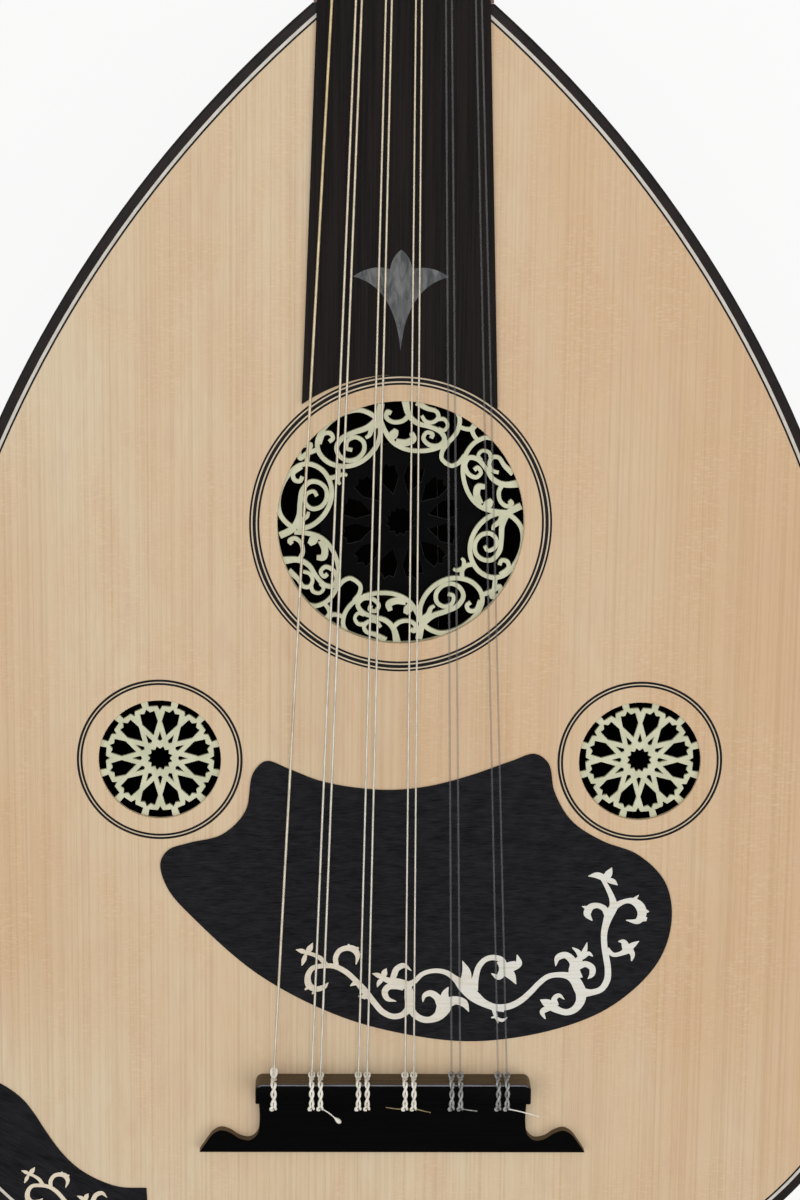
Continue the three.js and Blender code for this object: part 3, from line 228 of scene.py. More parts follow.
def paintSpruce():
    # Even close grain, slow patches of warmer and paler wood, faint blushes, and short ticks of silk across
    # the grain. The colour is paler at the bass side and below the bridge, and warmer along the bass flank.
    paint = Paint("spruceFace", 0.55, Specular_IOR_Level=0.2)
    coords = paint.coords()
    layers = ("rings", "wide", "zones", "patches", "blush", "fibres", "silk")
    rings, wide, zones, patches, blush, fibres, silk = (paint.cells(coords, *spruce[key]) for key in layers)
    across, up = paint.part(coords, "X"), paint.part(coords, "Y") - shiftY / 1000
    flank = (paint.band(across, *spruce["flankX"]) * paint.band(up, *spruce["flankStart"])
             * paint.band(up, *spruce["flankEnd"]))
    aside = paint.band(across, -spruce["halfWidth"], spruce["halfWidth"]) - 0.5
    cast = (zones * 0.45 + patches * 0.3 + wide * 0.07 + aside * 0.27 + flank * 0.2
            + (paint.band(up, *spruce["paleBelow"]) - 1) * 0.08)
    colour = paint.mix(tone(*spruce["pale"]), tone(*spruce["warm"]), paint.band(cast, 0.27, 0.53))
    colour = paint.mix(colour, tone(*spruce["blushTone"]), paint.band(blush, 0.5, 0.75) * 0.35)
    lines = paint.band(rings, 0.42, 0.72) * 0.34 + paint.band(wide, 0.5, 0.75) * 0.03 + (fibres - 0.5) * 0.45
    colour = paint.mix(colour, tone(*spruce["lineTone"]), paint.band(lines, -0.02, 1.1))
    ticks = paint.band(silk, 0.5, 0.68) * paint.band(patches, 0.42, 0.6) * 0.4
    colour = paint.mix(colour, tone(*spruce["silkTone"]), ticks)
    return paint.surface(colour, 0.52 + (fibres - 0.5) * 0.2, rings * 0.4 + fibres, spruce["depth"])


def paintVine():
    # Pale wood, warmer towards the bass side
    paint = Paint("vinePale", 0.55, Specular_IOR_Level=0.3)
    coords = paint.coords()
    grain = paint.cells(coords, *vineWood["grain"])
    warmth = paint.band(paint.part(coords, "X"), *vineWood["warmFrom"])
    colour = paint.mix(tone(*vineWood["pale"]), tone(*vineWood["warm"]), warmth)
    colour = paint.mix(colour, tone(*vineWood["grainTone"]), paint.band(grain, 0.45, 0.75) * 0.5)
    return paint.surface(colour, 0.5 + (grain - 0.5) * 0.2, grain, vineWood["depth"])


def paintPearl():
    # Shell: soft cloudy bands that run up the petals, with bright flecks
    paint = Paint("inlayPearl", 0.3, Specular_IOR_Level=0.3)
    coords = paint.coords()
    clouds, flecks = paint.cells(coords, *pearl["clouds"]), paint.cells(coords, *pearl["flecks"])
    colour = paint.mix(tone(*pearl["dark"]), tone(*pearl["light"]), paint.band(clouds, 0.35, 0.65))
    colour = paint.mix(colour, tone(*pearl["fleckTone"]), paint.band(flecks, 0.6, 0.8) * 0.4)
    return paint.surface(colour, 0.3 + (clouds - 0.5) * 0.3, clouds, pearl["depth"])


finishes = {
    "soundboard_spruce": paintSpruce(),
    "edge_black": paintPlain("edgeBlack", (20, 15, 14), (34, 27, 25), 0.008, 0.45,
                             Specular_IOR_Level=0.1),
    "rosette_pale": paintPlain("rosettePale", (211, 210, 180), (195, 195, 164), 0.006, 0.5, 0.00004),
    "rosette_black": paintPlain("rosetteBlack", (2, 2, 2), (5, 5, 5), 0.006, 0.6,
                                Specular_IOR_Level=0.03),
    "rosette_edge": paintPlain("rosetteEdge", (44, 44, 46), (24, 24, 26), 0.003, 0.5),
    "guard_black": paintWood("guardBlack", (40, 40, 43), (8, 8, 9), (0.00025, 0.004), pi / 2,
                             roughness=0.65, Specular_IOR_Level=0.05),
    "guard_diagonal": paintWood("guardDiagonal", (38, 37, 40), (8, 8, 9), (0.00035, 0.006),
                                radians(62), roughness=0.65, Specular_IOR_Level=0.05),
    "vine_pale": paintVine(),
    "bridge_black": paintWood("bridgeBlack", (7, 6, 6), (3, 3, 3), (0.0008, 0.03), pi / 2,
                              roughness=0.2, Specular_IOR_Level=0.02),
    "bridge_matte": paintWood("bridgeMatte", (100, 83, 60), (70, 56, 40), (0.001, 0.02), pi / 2,
                              roughness=0.6, Specular_IOR_Level=0.2),
    # painted highlight: a pale grey line where the block's front top edge would catch the lamps
    "bridge_painted_highlight": paintPlain("bridgePaintedHighlight", (70, 70, 80), (38, 38, 44), 0.012, 0.3),
    "fingerboard_black": paintWood("fingerboardBlack", (34, 29, 27), (13, 11, 11), (0.0006, 0.05),
                                   roughness=0.5, Specular_IOR_Level=0.05),
    "inlay_pearl": paintPearl(),
    "neck_wood": paintWood("neckWood", (112, 68, 42), (64, 36, 22), (0.0013, 0.12), roughness=0.38,
                           Coat_Weight=0.2, Coat_Roughness=0.2, Specular_IOR_Level=0.3),
    "bowl_walnut": paintWood("bowlWalnut", (146, 90, 54), (84, 46, 27), (0.12, 0.0013), source="UV",
                             roughness=0.38, Coat_Weight=0.2, Coat_Roughness=0.2, Specular_IOR_Level=0.3),
    "bowl_line": paintPlain("bowlLine", (214, 190, 148), (196, 170, 128), 0.01, 0.38, Coat_Weight=0.2,
                            Coat_Roughness=0.2, Specular_IOR_Level=0.3),
    # painted shade: the bowl's inside is near black, because little light reaches in there
    "bowl_inside_painted_shade": paintPlain("bowlInsidePaintedShade", (15, 11, 9), (26, 18, 13), 0.02, 0.85,
                              Specular_IOR_Level=0.1),
    "inner_spruce": paintWood("innerSpruce", (222, 196, 156), (196, 160, 116), (0.0012, 0.1),
                              pi / 2, roughness=0.7),
    "inner_block": paintWood("innerBlock", (206, 174, 130), (180, 142, 98), (0.0016, 0.08),
                             roughness=0.7),
    "nut_bone": paintPlain("nutBone", (240, 233, 214), (228, 216, 188), 0.006, 0.35),
    "peg_wood": paintWood("pegWood", (44, 36, 34), (22, 18, 18), (0.03, 0.0008), roughness=0.28,
                          Specular_IOR_Level=0.35),
    "string_gold": paintWound("stringGold", (214, 206, 188), (128, 112, 84), (214, 188, 130), 0.8, 0.38),
    "string_silver": paintWound("stringSilver", (216, 210, 196), (146, 138, 124), (218, 194, 152), 0.6,
                                0.38),
    "string_nylon": paintPlain("stringNylon", (116, 116, 117), (100, 100, 102), 0.01, 0.3, Alpha=0.26,
                               Specular_IOR_Level=0.3),
    "knot_cream": paintPlain("knotCream", (246, 242, 231), (226, 220, 204), 0.003, 0.5),
    "knot_nylon": paintPlain("knotNylon", (196, 196, 192), (136, 136, 134), 0.002, 0.2, Alpha=0.6),
    "knot_olive": paintPlain("knotOlive", (142, 128, 84), (104, 92, 60), 0.003, 0.4),
    "line_white": paintPlain("lineWhite", (212, 206, 196), (196, 189, 178), 0.004, 0.5),
    "line_tan": paintPlain("lineTan", (214, 196, 168), (200, 180, 150), 0.004, 0.5),
    "line_black": paintPlain("lineBlack", (11, 9, 9), (20, 17, 16), 0.004, 0.5,
                             Specular_IOR_Level=0.1),
}
print("finishes made:", len(finishes))


# Mesh making
welding = {"joins": 2e-7, "drops": 1e-7}


def addPiece(name, points, faces, finish, body="body", stands=(), maps=None, sharp=35, slot=None,
             layout=None):
    # layout gives each face the number of its finish, where finish is a list. What lies closer than
    # welding's metres is joined, and a face thinner than them is dropped.
    mesh = bpy.data.meshes.new(name)
    mesh.from_pydata(placed(points).tolist(), [], faces if isinstance(faces, list) else faces.tolist())
    if maps is not None:
        layer = mesh.uv_layers.new(name="UVMap")
        layer.data.foreach_set("uv", np.asarray(maps, np.float32).ravel())
    if layout is not None:
        mesh.polygons.foreach_set("material_index", layout)
    sealed = bmesh.new()
    sealed.from_mesh(mesh)
    bmesh.ops.remove_doubles(sealed, verts=sealed.verts, dist=welding["joins"])
    bmesh.ops.dissolve_degenerate(sealed, edges=sealed.edges, dist=welding["drops"])
    bmesh.ops.recalc_face_normals(sealed, faces=sealed.faces)
    sealed.to_mesh(mesh)
    sealed.free()
    mesh.shade_smooth()
    mesh.set_sharp_from_angle(angle=radians(sharp))
    wanted = [finish] if isinstance(finish, str) else finish
    for each in wanted:
        mesh.materials.append(finishes[each])
    piece = bpy.data.objects.new(name, mesh)
    scene.collection.objects.link(piece)
    if stands:
        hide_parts(*stands)
    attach(piece, body)
    return piece


def softened(piece, width, segments=2):  # edges sharper than 40 degrees, eased over a width in millimetres
    bevel = piece.modifiers.new("soft edges", "BEVEL")
    bevel.width = width / 1000
    bevel.segments = segments
    bevel.limit_method = "ANGLE"
    bevel.angle_limit = radians(40)
    return piece


def finishedWhere(piece, finish, choose):
    # A second finish on the faces that choose() names from their middles, in millimetres, and normals
    count = len(piece.data.polygons)
    middles, normals = np.empty(count * 3), np.empty(count * 3)
    piece.data.polygons.foreach_get("center", middles)
    piece.data.polygons.foreach_get("normal", normals)
    middles = middles.reshape(-1, 3) * 1000 - [0, shiftY, shiftZ]
    kept = np.zeros(count, np.int32)
    piece.data.polygons.foreach_get("material_index", kept)
    piece.data.materials.append(finishes[finish])
    chosen = choose(middles, normals.reshape(-1, 3))
    kept[chosen] = len(piece.data.materials) - 1
    piece.data.polygons.foreach_set("material_index", kept)


def gridFaces(rows, columns, wrapped):  # quads between neighbouring rows and columns of a point grid
    row = np.arange(rows - 1)[:, None]
    column = np.arange(columns if wrapped else columns - 1)[None, :]
    beside = (column + 1) % columns
    quads = [row * columns + column, row * columns + beside, (row + 1) * columns + beside,
             (row + 1) * columns + column]
    return np.stack(np.broadcast_arrays(*quads), -1).reshape(-1, 4)


def addCarried(name, rings, finish, shift=0.0, sides=None, **facts):
    # A closed section carried along a path: rings[i, j] is point j of the section at station i. The map runs
    # along the path and round the section in metres, from shift on, and both ends are capped. sides gives
    # the finish's number for each side of the section.
    rings = np.asarray(rings, float)
    rows, columns = rings.shape[:2]
    centres = rings.mean(axis=1)
    along = np.concatenate([[0], np.cumsum(np.linalg.norm(np.diff(centres, axis=0), axis=1))]) / 1000
    closing = np.concatenate([rings, rings[:, :1]], axis=1)
    around = np.linalg.norm(np.diff(closing, axis=1), axis=2).mean(axis=0)
    around = np.concatenate([[0], np.cumsum(around)]) / 1000 + shift
    quads = gridFaces(rows, columns, True)
    row, column = np.divmod(np.arange((rows - 1) * columns), columns)
    maps = np.stack([np.stack([along[row + a], around[column + b]], -1)
                     for a, b in ((0, 0), (0, 1), (1, 1), (1, 0))], 1).reshape(-1, 2)
    ends = np.stack([np.zeros(2 * columns), np.tile(around[:-1], 2)], -1)
    faces = quads.tolist()
    faces.append(list(range(columns)))
    faces.append(list(range((rows - 1) * columns, rows * columns)))
    layout = None if sides is None else np.append(np.tile(sides, rows - 1), [0, 0]).astype(np.int32)
    maps = np.vstack([maps, ends])
    return addPiece(name, rings.reshape(-1, 3), faces, finish, maps=maps, layout=layout, **facts)


def tubeRings(path, radius, sides):
    # A circle carried along a path: its frame is turned from step to step no more than the path turns, and
    # it starts square to a direction that no path here starts in
    path = np.asarray(path, float)
    radii = np.broadcast_to(radius, len(path))
    heading = np.gradient(path, axis=0)
    heading /= np.linalg.norm(heading, axis=1)[:, None]
    across = np.cross(heading[0], [0.3, 0.2, 0.93])
    angles = 2 * pi * np.arange(sides) / sides
    rings = []
    for centre, ahead, size in zip(path, heading, radii):
        across = across - ahead * across.dot(ahead)
        across /= np.linalg.norm(across)
        upward = np.cross(ahead, across)
        rings.append(centre + size * (np.cos(angles)[:, None] * across + np.sin(angles)[:, None] * upward))
    return np.array(rings)


def smoothCurve(points, perSpan, closed=False):
    # Catmull-Rom curve through the points, with knots spaced by the root of the distance
    p = np.asarray(points, float)
    p = np.vstack([p[-1:], p, p[:2]]) if closed else np.vstack([2 * p[0] - p[1], p, 2 * p[-1] - p[-2]])
    gaps = np.maximum(np.linalg.norm(np.diff(p[:, :2], axis=0), axis=1), 1e-9)[:, None] ** 0.5
    a, b, c = gaps[:-2], gaps[1:-1], gaps[2:]
    p0, p1, p2, p3 = p[:-3], p[1:-2], p[2:-1], p[3:]
    leave = ((p1 - p0) / a - (p2 - p0) / (a + b) + (p2 - p1) / b) * b
    arrive = ((p2 - p1) / b - (p3 - p1) / (b + c) + (p3 - p2) / c) * b
    t = (np.arange(perSpan) / perSpan)[None, :, None]
    curve = ((2 * t ** 3 - 3 * t ** 2 + 1) * p1[:, None] + (t ** 3 - 2 * t ** 2 + t) * leave[:, None]
             + (3 * t ** 2 - 2 * t ** 3) * p2[:, None] + (t ** 3 - t ** 2) * arrive[:, None])
    curve = curve.reshape(-1, p.shape[1])
    return curve if closed else np.vstack([curve, p[-2:-1]])


leastStroke = 0.05  # millimetres, at a stroke's pointed ends


def strokeOutline(stroke, perSpan=7):
    # A flat stroke: half of its width laid off to both sides of its smooth path. Its rows are x, y, width.
    straight = len(stroke) == 2
    course = np.linspace(*stroke, perSpan + 1) if straight else smoothCurve(stroke, perSpan)
    step = np.gradient(course[:, :2], axis=0)
    step /= np.maximum(np.linalg.norm(step, axis=1), 1e-9)[:, None]
    aside = np.stack([-step[:, 1], step[:, 0]], -1) * np.maximum(course[:, 2:3], leastStroke) / 2
    return np.vstack([course[:, :2] + aside, (course[:, :2] - aside)[::-1]])


def turnsRound(outline, points):
    # How often a closed outline turns round each point: edges that cross its level upwards on its right,
    # less those that cross downwards
    start, stop = outline, np.roll(outline, -1, axis=0)
    x, y = points[:, :1], points[:, 1:]
    side = (stop[:, 0] - start[:, 0]) * (y - start[:, 1]) - (x - start[:, 0]) * (stop[:, 1] - start[:, 1])
    rising = (start[:, 1] <= y) & (stop[:, 1] > y) & (side > 0)
    falling = (start[:, 1] > y) & (stop[:, 1] <= y) & (side < 0)
    return rising.sum(axis=1) - falling.sum(axis=1)


def addPlate(name, solids, holes, low, high, finish, bend=None, **facts):
    # A plate of even thickness: the union of the solid outlines less the holes, triangulated once for its
    # top and underside, with a wall wherever an edge has a triangle on one side only
    corners, edges = [], []
    outlines = [np.asarray(outline, float) for outline in [*solids, *holes]]
    for outline in outlines:
        numbers = len(corners) + np.arange(len(outline))
        edges += np.column_stack([numbers, np.roll(numbers, -1)]).tolist()
        corners += map(Vector, outline.tolist())
    flat, _, triangles, _, _, _ = delaunay_2d_cdt(corners, edges, [], 0, 1e-5, False)
    plane = np.array([(point.x, point.y) for point in flat])
    tris = np.array(triangles)
    middles = plane[tris].mean(axis=1)
    kept = np.zeros(len(tris), bool)
    for number, outline in enumerate(outlines):
        within = turnsRound(outline, middles) != 0
        kept = kept | within if number < len(solids) else kept & ~within
    tris = tris[kept]
    edges = np.concatenate([tris[:, [0, 1]], tris[:, [1, 2]], tris[:, [2, 0]]])
    total = len(flat)
    keys = edges[:, 0] * total + edges[:, 1]
    twins = edges[:, 1] * total + edges[:, 0]
    rim = edges[~np.isin(keys, twins)]
    top = np.column_stack([plane, np.full(total, float(high))])
    under = np.column_stack([plane, np.full(total, float(low))])
    walls = np.column_stack([rim[:, 1], rim[:, 0], rim[:, 0] + total, rim[:, 1] + total])
    points = np.vstack([top, under])
    used = np.unique(np.concatenate([tris.ravel(), tris.ravel() + total]))
    number = np.zeros(2 * total, int)
    number[used] = np.arange(len(used))
    points = points[used]
    if bend is not None:
        points = bend(points)
    faces = number[tris].tolist() + number[tris[:, ::-1] + total].tolist() + number[walls].tolist()
    return addPiece(name, points, faces, finish, **facts)


def circle(x, y, radius, sides=96):
    angles = 2 * pi * np.arange(sides) / sides
    return np.column_stack([x + radius * np.cos(angles), y + radius * np.sin(angles)])


# Outline of the soundboard: four arcs on each side, from the tail to the neck joint
body = {"bridgeToTail": 99.4, "tailRadius": 273.2, "tailAngle": 22.5, "boutRadius": 127.6,
        "flankRadius": 566.2, "flankAngle": 9.3, "shoulderRadius": 435.1, "jointHalfWidth": 31,
        "ribCount": 13, "ribThickness": 3, "ribTailRadius": 12, "seamGap": 0.06, "seatGap": 0.3,
        "boardThickness": 1.8, "boardEdge": 0.25, "bindingWidth": 3.5, "whiteLine": 1.12, "blackLine": 0.68,
        "claspThickness": 1.8, "claspReach": 3.5, "claspEdge": 0.5, "claspSteps": 26, "staveSteps": 8,
        "bindingEase": [(0, -0.9), (0.12, -0.4), (0.45, -0.1), (0.9, 0.02), (2.0, 0.03)],
        "bindingProud": 0.02}
outlineSteps, ribSteps, armSteps = (20, 40, 16, 34), (16, 34, 14, 28), (30, 70, 9, 6)  # on each arc


def outlineArcs():
    arcs = [(0, body["tailRadius"] - body["bridgeToTail"], body["tailRadius"], 0, radians(body["tailAngle"]))]
    flankEnd = pi / 2 + radians(body["flankAngle"])
    for key, end in (("boutRadius", pi / 2), ("flankRadius", flankEnd), ("shoulderRadius", pi)):
        x, y, before, _, start = arcs[-1]
        away = before - body[key]
        arcs.append((x + away * sin(start), y - away * cos(start), body[key], start, end))
    return arcs


arcs = outlineArcs()
shoulderX, shoulderY, shoulderRadius = arcs[3][:3]
jointEnd = pi - asin((body["jointHalfWidth"] - shoulderX) / shoulderRadius)
jointY = shoulderY - shoulderRadius * cos(jointEnd)
halfWidth = arcs[1][0] + body["boutRadius"]
seatY = jointY - body["seatGap"]
boardLow = -body["boardThickness"]


def halfOutline(inset, endY, startX=0.0, steps=outlineSteps):
    # Each arc is its centre plus its radius less the inset, at angles counted from the tail
    parts = []
    for index, ((x, y, radius, start, end), count) in enumerate(zip(arcs, steps)):
        size = radius - inset
        start = asin(startX / radius) if index == 0 else start
        end = pi - acos((endY - y) / size) if index == 3 else end
        angles = np.linspace(start, end, count + 1)[0 if index == 0 else 1:]
        parts.append(np.column_stack([x + size * np.sin(angles), y - size * np.cos(angles)]))
    return np.vstack(parts)


def openOutline(inset):  # from the joint on one side round the tail to the joint on the other
    half = halfOutline(inset, seatY)
    return np.vstack([(half * [-1, 1])[:0:-1], half])


# Bowl: thirteen flat staves with eased edges, turned about the middle line from the board's half outline
def bowlPoints(places, angles):
    places, angles = np.asarray(places), np.asarray(angles)
    radius, y = places[..., 0], places[..., 1]
    return np.stack([-radius * np.cos(angles), y + 0 * angles, boardLow - radius * np.sin(angles)], -1)


staveAngle = pi / body["ribCount"]
ribSection = [(0.0, 0.1), (0.004, 0.03), (0.015, 0.0), (0.2, 0.0), (0.4, 0.0), (0.6, 0.0), (0.8, 0.0),
              (0.985, 0.0), (0.996, 0.03), (1.0, 0.1), (1.0, 1.0), (0.75, 1.0), (0.5, 1.0), (0.25, 1.0),
              (0.0, 1.0)]  # place across the stave and depth, both as shares
ribSides = [1, 1, 0, 0, 0, 0, 0, 1, 1, 0, 2, 2, 2, 2, 0]  # pale lines at the seams, dark unlit inside


def addRibs():
    outer = halfOutline(0, seatY, body["ribTailRadius"], ribSteps)
    inner = halfOutline(body["ribThickness"], seatY, body["ribTailRadius"], ribSteps)
    across, deep = np.array(ribSection).T
    for stave in range(body["ribCount"]):
        gap = body["seamGap"] / outer[:, 0]
        first = stave * staveAngle + gap * (stave > 0)
        last = (stave + 1) * staveAngle - gap * (stave < body["ribCount"] - 1)
        corners = [bowlPoints(places, angles) for places in (outer, inner) for angles in (first, last)]
        outside = corners[0][:, None] * (1 - across[:, None]) + corners[1][:, None] * across[:, None]
        inside = corners[2][:, None] * (1 - across[:, None]) + corners[3][:, None] * across[:, None]
        rings = outside * (1 - deep[:, None]) + inside * deep[:, None]
        addCarried(f"rib{stave + 1}", rings, ["bowl_walnut", "bowl_line", "bowl_inside_painted_shade"], shift=0.37 * stave,
                   sides=ribSides, stands=[f"rib_{stave + 1}"])


def addClasp():
    # A thin cap over the rib ends: staves eased half way to a round, outer wall out and inner wall back
    reach = -body["bridgeToTail"] + body["claspReach"]
    angles = np.linspace(0, pi, body["staveSteps"] * body["ribCount"] + 1)
    facet = cos(staveAngle / 2) / np.cos(np.mod(angles, staveAngle) - staveAngle / 2)
    walls = []
    for inset in (-(body["seatGap"] + body["claspThickness"]), -body["seatGap"]):
        x, y, radius = arcs[0][:3]
        size = radius - inset
        edge = acos((y - reach) / size)
        turns = np.linspace(0, edge, body["claspSteps"])
        course = np.column_stack([size * np.sin(turns), y - size * np.cos(turns)])
        points = bowlPoints(course[:, None, :], np.broadcast_to(angles, (len(course), len(angles))))
        lift = (0.5 + 0.5 * facet)[None, :]
        points[..., 0] *= lift
        points[..., 2] = boardLow + (points[..., 2] - boardLow) * lift
        walls.append(points)
    rows, columns = walls[0].shape[:2]
    count = rows * columns
    skin = gridFaces(rows, columns, False)
    faces = np.vstack([skin, skin[:, ::-1] + count]).tolist()
    index = np.arange(count).reshape(rows, columns)
    for border in (index[-1], index[:, 0], index[:, -1]):
        faces += [[a, b, b + count, a + count] for a, b in zip(border[:-1], border[1:])]
    points = np.vstack([wall.reshape(-1, 3) for wall in walls])
    softened(addPiece("endClasp", points, faces, "edge_black", stands=["end_clasp"]), body["claspEdge"])


addRibs()
addClasp()
print("bowl made")


# Soundboard, its binding and the inlaid lines
holes = {"mainRadius": 43.9, "mainX": 0.8, "mainY": 207.2, "smallRadius": 22, "smallY": 119.7,
         "bassX": -85.2, "trebleX": 88.2, "lineHeight": 0.05, "lineGap": 0.01, "ringDrop": 0.4,
         "mainLines": [(53.85, 53.15, "line_black"), (53.15, 52.65, "line_tan"), (52.65, 51.45, "line_black"),
                       (51.45, 50.95, "line_tan"), (50.95, 50.2, "line_black")],
         "smallLines": [(29.85, 29.0, "line_black"), (29.0, 28.6, "line_tan"), (28.6, 27.8, "line_black")]}


def addBoard():
    half = halfOutline(body["bindingWidth"], seatY)
    board = np.vstack([half, (half * [-1, 1])[:0:-1]])
    cuts = [circle(holes["mainX"], holes["mainY"], holes["mainRadius"], 144)]
    cuts += [circle(x, holes["smallY"], holes["smallRadius"]) for x in (holes["bassX"], holes["trebleX"])]
    plate = addPlate("soundboard", [board], cuts, boardLow, 0, "soundboard_spruce", stands=["soundboard"])
    softened(plate, body["boardEdge"])


def addBinding():
    # An eased square section carried round the edge, its width laid off inwards by insetting the outline
    width = body["bindingWidth"]
    section = [(0, boardLow), *body["bindingEase"], (width, body["bindingProud"]), (width, boardLow)]
    rings = []
    for inset, z in section:
        course = openOutline(inset)
        rings.append(np.column_stack([course, np.full(len(course), z)]))
    addCarried("edgeBinding", np.stack(rings, axis=1), "edge_black", stands=["edge_binding"])


def addStrip(name, outer, inner, finish, slot):  # a line round the soundboard between two insets
    course = np.vstack([openOutline(outer), openOutline(inner)[::-1]])
    addPlate(name, [course], [], 0.0, holes["lineHeight"], finish, slot=slot)


def addLines():
    white = body["bindingWidth"] + body["whiteLine"]
    black = white + body["blackLine"]
    addStrip("purflingWhite", body["bindingWidth"] + holes["lineGap"], white, "line_white", "rosette_pale")
    addStrip("purflingBlack", white, black, "line_black", "edge_black")
    rings = [("main", holes["mainX"], holes["mainY"] - holes["ringDrop"], holes["mainLines"]),
             ("bass", holes["bassX"], holes["smallY"], holes["smallLines"]),
             ("treble", holes["trebleX"], holes["smallY"], holes["smallLines"])]
    for name, x, y, lines in rings:
        for number, (outer, inner, finish) in enumerate(lines):
            slot = "rosette_pale" if finish == "line_tan" else "edge_black"
            rims = [circle(x, y, radius, 160) for radius in (outer, inner)]
            addPlate(f"{name}Ring{number + 1}", rims[:1], rims[1:], 0.0, holes["lineHeight"], finish,
                     slot=slot)


addBoard()
addBinding()
addLines()
print("soundboard made")


# Rosettes
rosettes = {"thickness": 1.5, "lap": 4, "centreRadius": 25.5, "centreLap": 3, "rays": 12, "edge": 0.18,
            "gap": 0.01, "rimOverlap": 0.1, "starTip": 0.21, "starValley": 0.16, "strokeShare": 0.92,
            "smallKite": [(0.45, 0), (0.322, 0.235), (0.292, 0), (0.322, -0.235)],
            "bigKite": [(0.4, 0), (0.63, 0.4), (0.81, 0.29), (0.79, 0.118), (0.855, 0), (0.79, -0.118),
                        (0.81, -0.29), (0.63, -0.4)],
            "slot": [(1.02, -0.39), (0.893, -0.39), (0.888, -0.085), (0.815, 0), (0.888, 0.085),
                     (0.893, 0.39), (1.02, 0.38), (1.02, 0)]}
# Scrolls of the main rosette: degrees from the motif's middle, then radius and width as shares of the
# hole's radius. Each place is a motif's middle in degrees, its kind and its hand.
scrolls = {
    "leaf": [
        ((-24.2, 0.865, 0.038), (-23, 0.77, 0.041), (-18.8, 0.664, 0.041), (-10.4, 0.606, 0.038),
         (0.7, 0.604, 0.038), (11.2, 0.662, 0.038), (17, 0.761, 0.038), (18.1, 0.882, 0.038),
         (15.7, 0.979, 0.038), (12.3, 1.019, 0.038)),
        ((-11.3, 1.014, 0.069), (-9.2, 0.891, 0.049), (-4.4, 0.828, 0.044), (3.5, 0.818, 0.038),
         (10.3, 0.808, 0.041), (14.3, 0.765, 0.041), (12.8, 0.701, 0.041), (6.4, 0.677, 0.038),
         (1.6, 0.714, 0.036), (2.7, 0.767, 0.033), (6.3, 0.767, 0.036), (6.3, 0.732, 0.036)),
        ((-8.1, 0.899, 0.041), (-12, 0.834, 0.038), (-17.6, 0.826, 0.036), (-20.9, 0.87, 0.038),
         (-19.9, 0.913, 0.041), (-18.1, 0.898, 0.038)),
        ((-5.8, 0.993, 0.055), (-0.6, 0.959, 0.041), (4.4, 0.952, 0.036), (6.2, 0.911, 0.036),
         (4.1, 0.859, 0.033), (0.4, 0.853, 0.033), (-2.3, 0.89, 0.03)),
        ((5.3, 0.891, 0.036), (9.3, 0.914, 0.033), (12.2, 0.881, 0.03), (11.7, 0.832, 0.03),
         (8.3, 0.826, 0.03)),
        ((-20.6, 0.691, 0.055), (-17.7, 0.726, 0.077), (-15.8, 0.763, 0.041)),
        ((-16.5, 0.662, 0.06), (-9.4, 0.655, 0.06), (-4.8, 0.691, 0.058), (-6.4, 0.741, 0.041)),
        ((17.3, 0.755, 0.038), (16.7, 0.679, 0.038), (18.9, 0.621, 0.036), (24.2, 0.606, 0.036)),
        ((17.4, 0.915, 0.036), (20.9, 0.926, 0.036), (23.3, 0.954, 0.041), (23.2, 1.012, 0.041)),
    ],
    "loop": [
        ((20.1, 0.838, 0.041), (17.8, 0.717, 0.041), (10, 0.623, 0.041), (-3, 0.595, 0.041),
         (-13.4, 0.651, 0.041), (-18.2, 0.762, 0.041), (-17.3, 0.876, 0.041), (-13.7, 0.946, 0.041),
         (-7.9, 0.987, 0.041), (-1.3, 1.006, 0.041), (5.4, 1.006, 0.041), (11.6, 0.981, 0.041),
         (16.4, 0.92, 0.041), (19.8, 0.846, 0.041)),
        ((22.3, 0.986, 0.06), (19.3, 0.876, 0.058), (12.6, 0.825, 0.049), (4.6, 0.83, 0.044),
         (-2.7, 0.838, 0.044), (-8.5, 0.805, 0.041), (-10.5, 0.736, 0.038), (-8.4, 0.663, 0.038),
         (-1.5, 0.631, 0.038), (5, 0.663, 0.038), (7, 0.729, 0.038), (4.1, 0.789, 0.036), (-1, 0.796, 0.033),
         (-4, 0.748, 0.033), (-1.8, 0.712, 0.033)),
        ((-13.8, 0.918, 0.03), (-8.9, 0.957, 0.036), (-6.3, 0.928, 0.038), (-6.8, 0.882, 0.036),
         (-9.5, 0.88, 0.036)),
        ((19.7, 0.825, 0.041), (15, 0.807, 0.047), (11.9, 0.758, 0.036), (9.3, 0.751, 0.025)),
        ((-16.1, 0.896, 0.038), (-19.3, 0.924, 0.041), (-22.1, 0.949, 0.041), (-25.4, 0.969, 0.041),
         (-22.1, 1.021, 0.041)),
        ((-15.6, 0.692, 0.041), (-19.4, 0.649, 0.038), (-22.2, 0.639, 0.036)),
        ((-22.2, 0.639, 0.036), (-17.7, 0.608, 0.033), (-16.8, 0.58, 0.022)),
    ],
    "places": [(12.7, "leaf", 1), (60, "leaf", -1), (104, "loop", -1), (148.5, "loop", 1),
               (192.3, "leaf", 1), (240, "leaf", -1), (285.5, "loop", -1), (328, "loop", 1)],
}


def polar(x, y, radius, angle):
    return np.stack([x + radius * np.sin(angle), y + radius * np.cos(angle)], -1)


def rayCuts(x, y, radius, kinds):
    step = 2 * pi / rosettes["rays"]
    tips = np.arange(2 * rosettes["rays"])
    star = np.where(tips % 2, rosettes["starTip"], rosettes["starValley"]) * radius
    cuts = [polar(x, y, star, tips * step / 2)]
    for kind, offset in kinds:
        shares = np.array(rosettes[kind])
        cuts += [polar(x, y, radius * shares[:, 0], (ray + offset + shares[:, 1]) * step)
                 for ray in range(rosettes["rays"])]
    return cuts


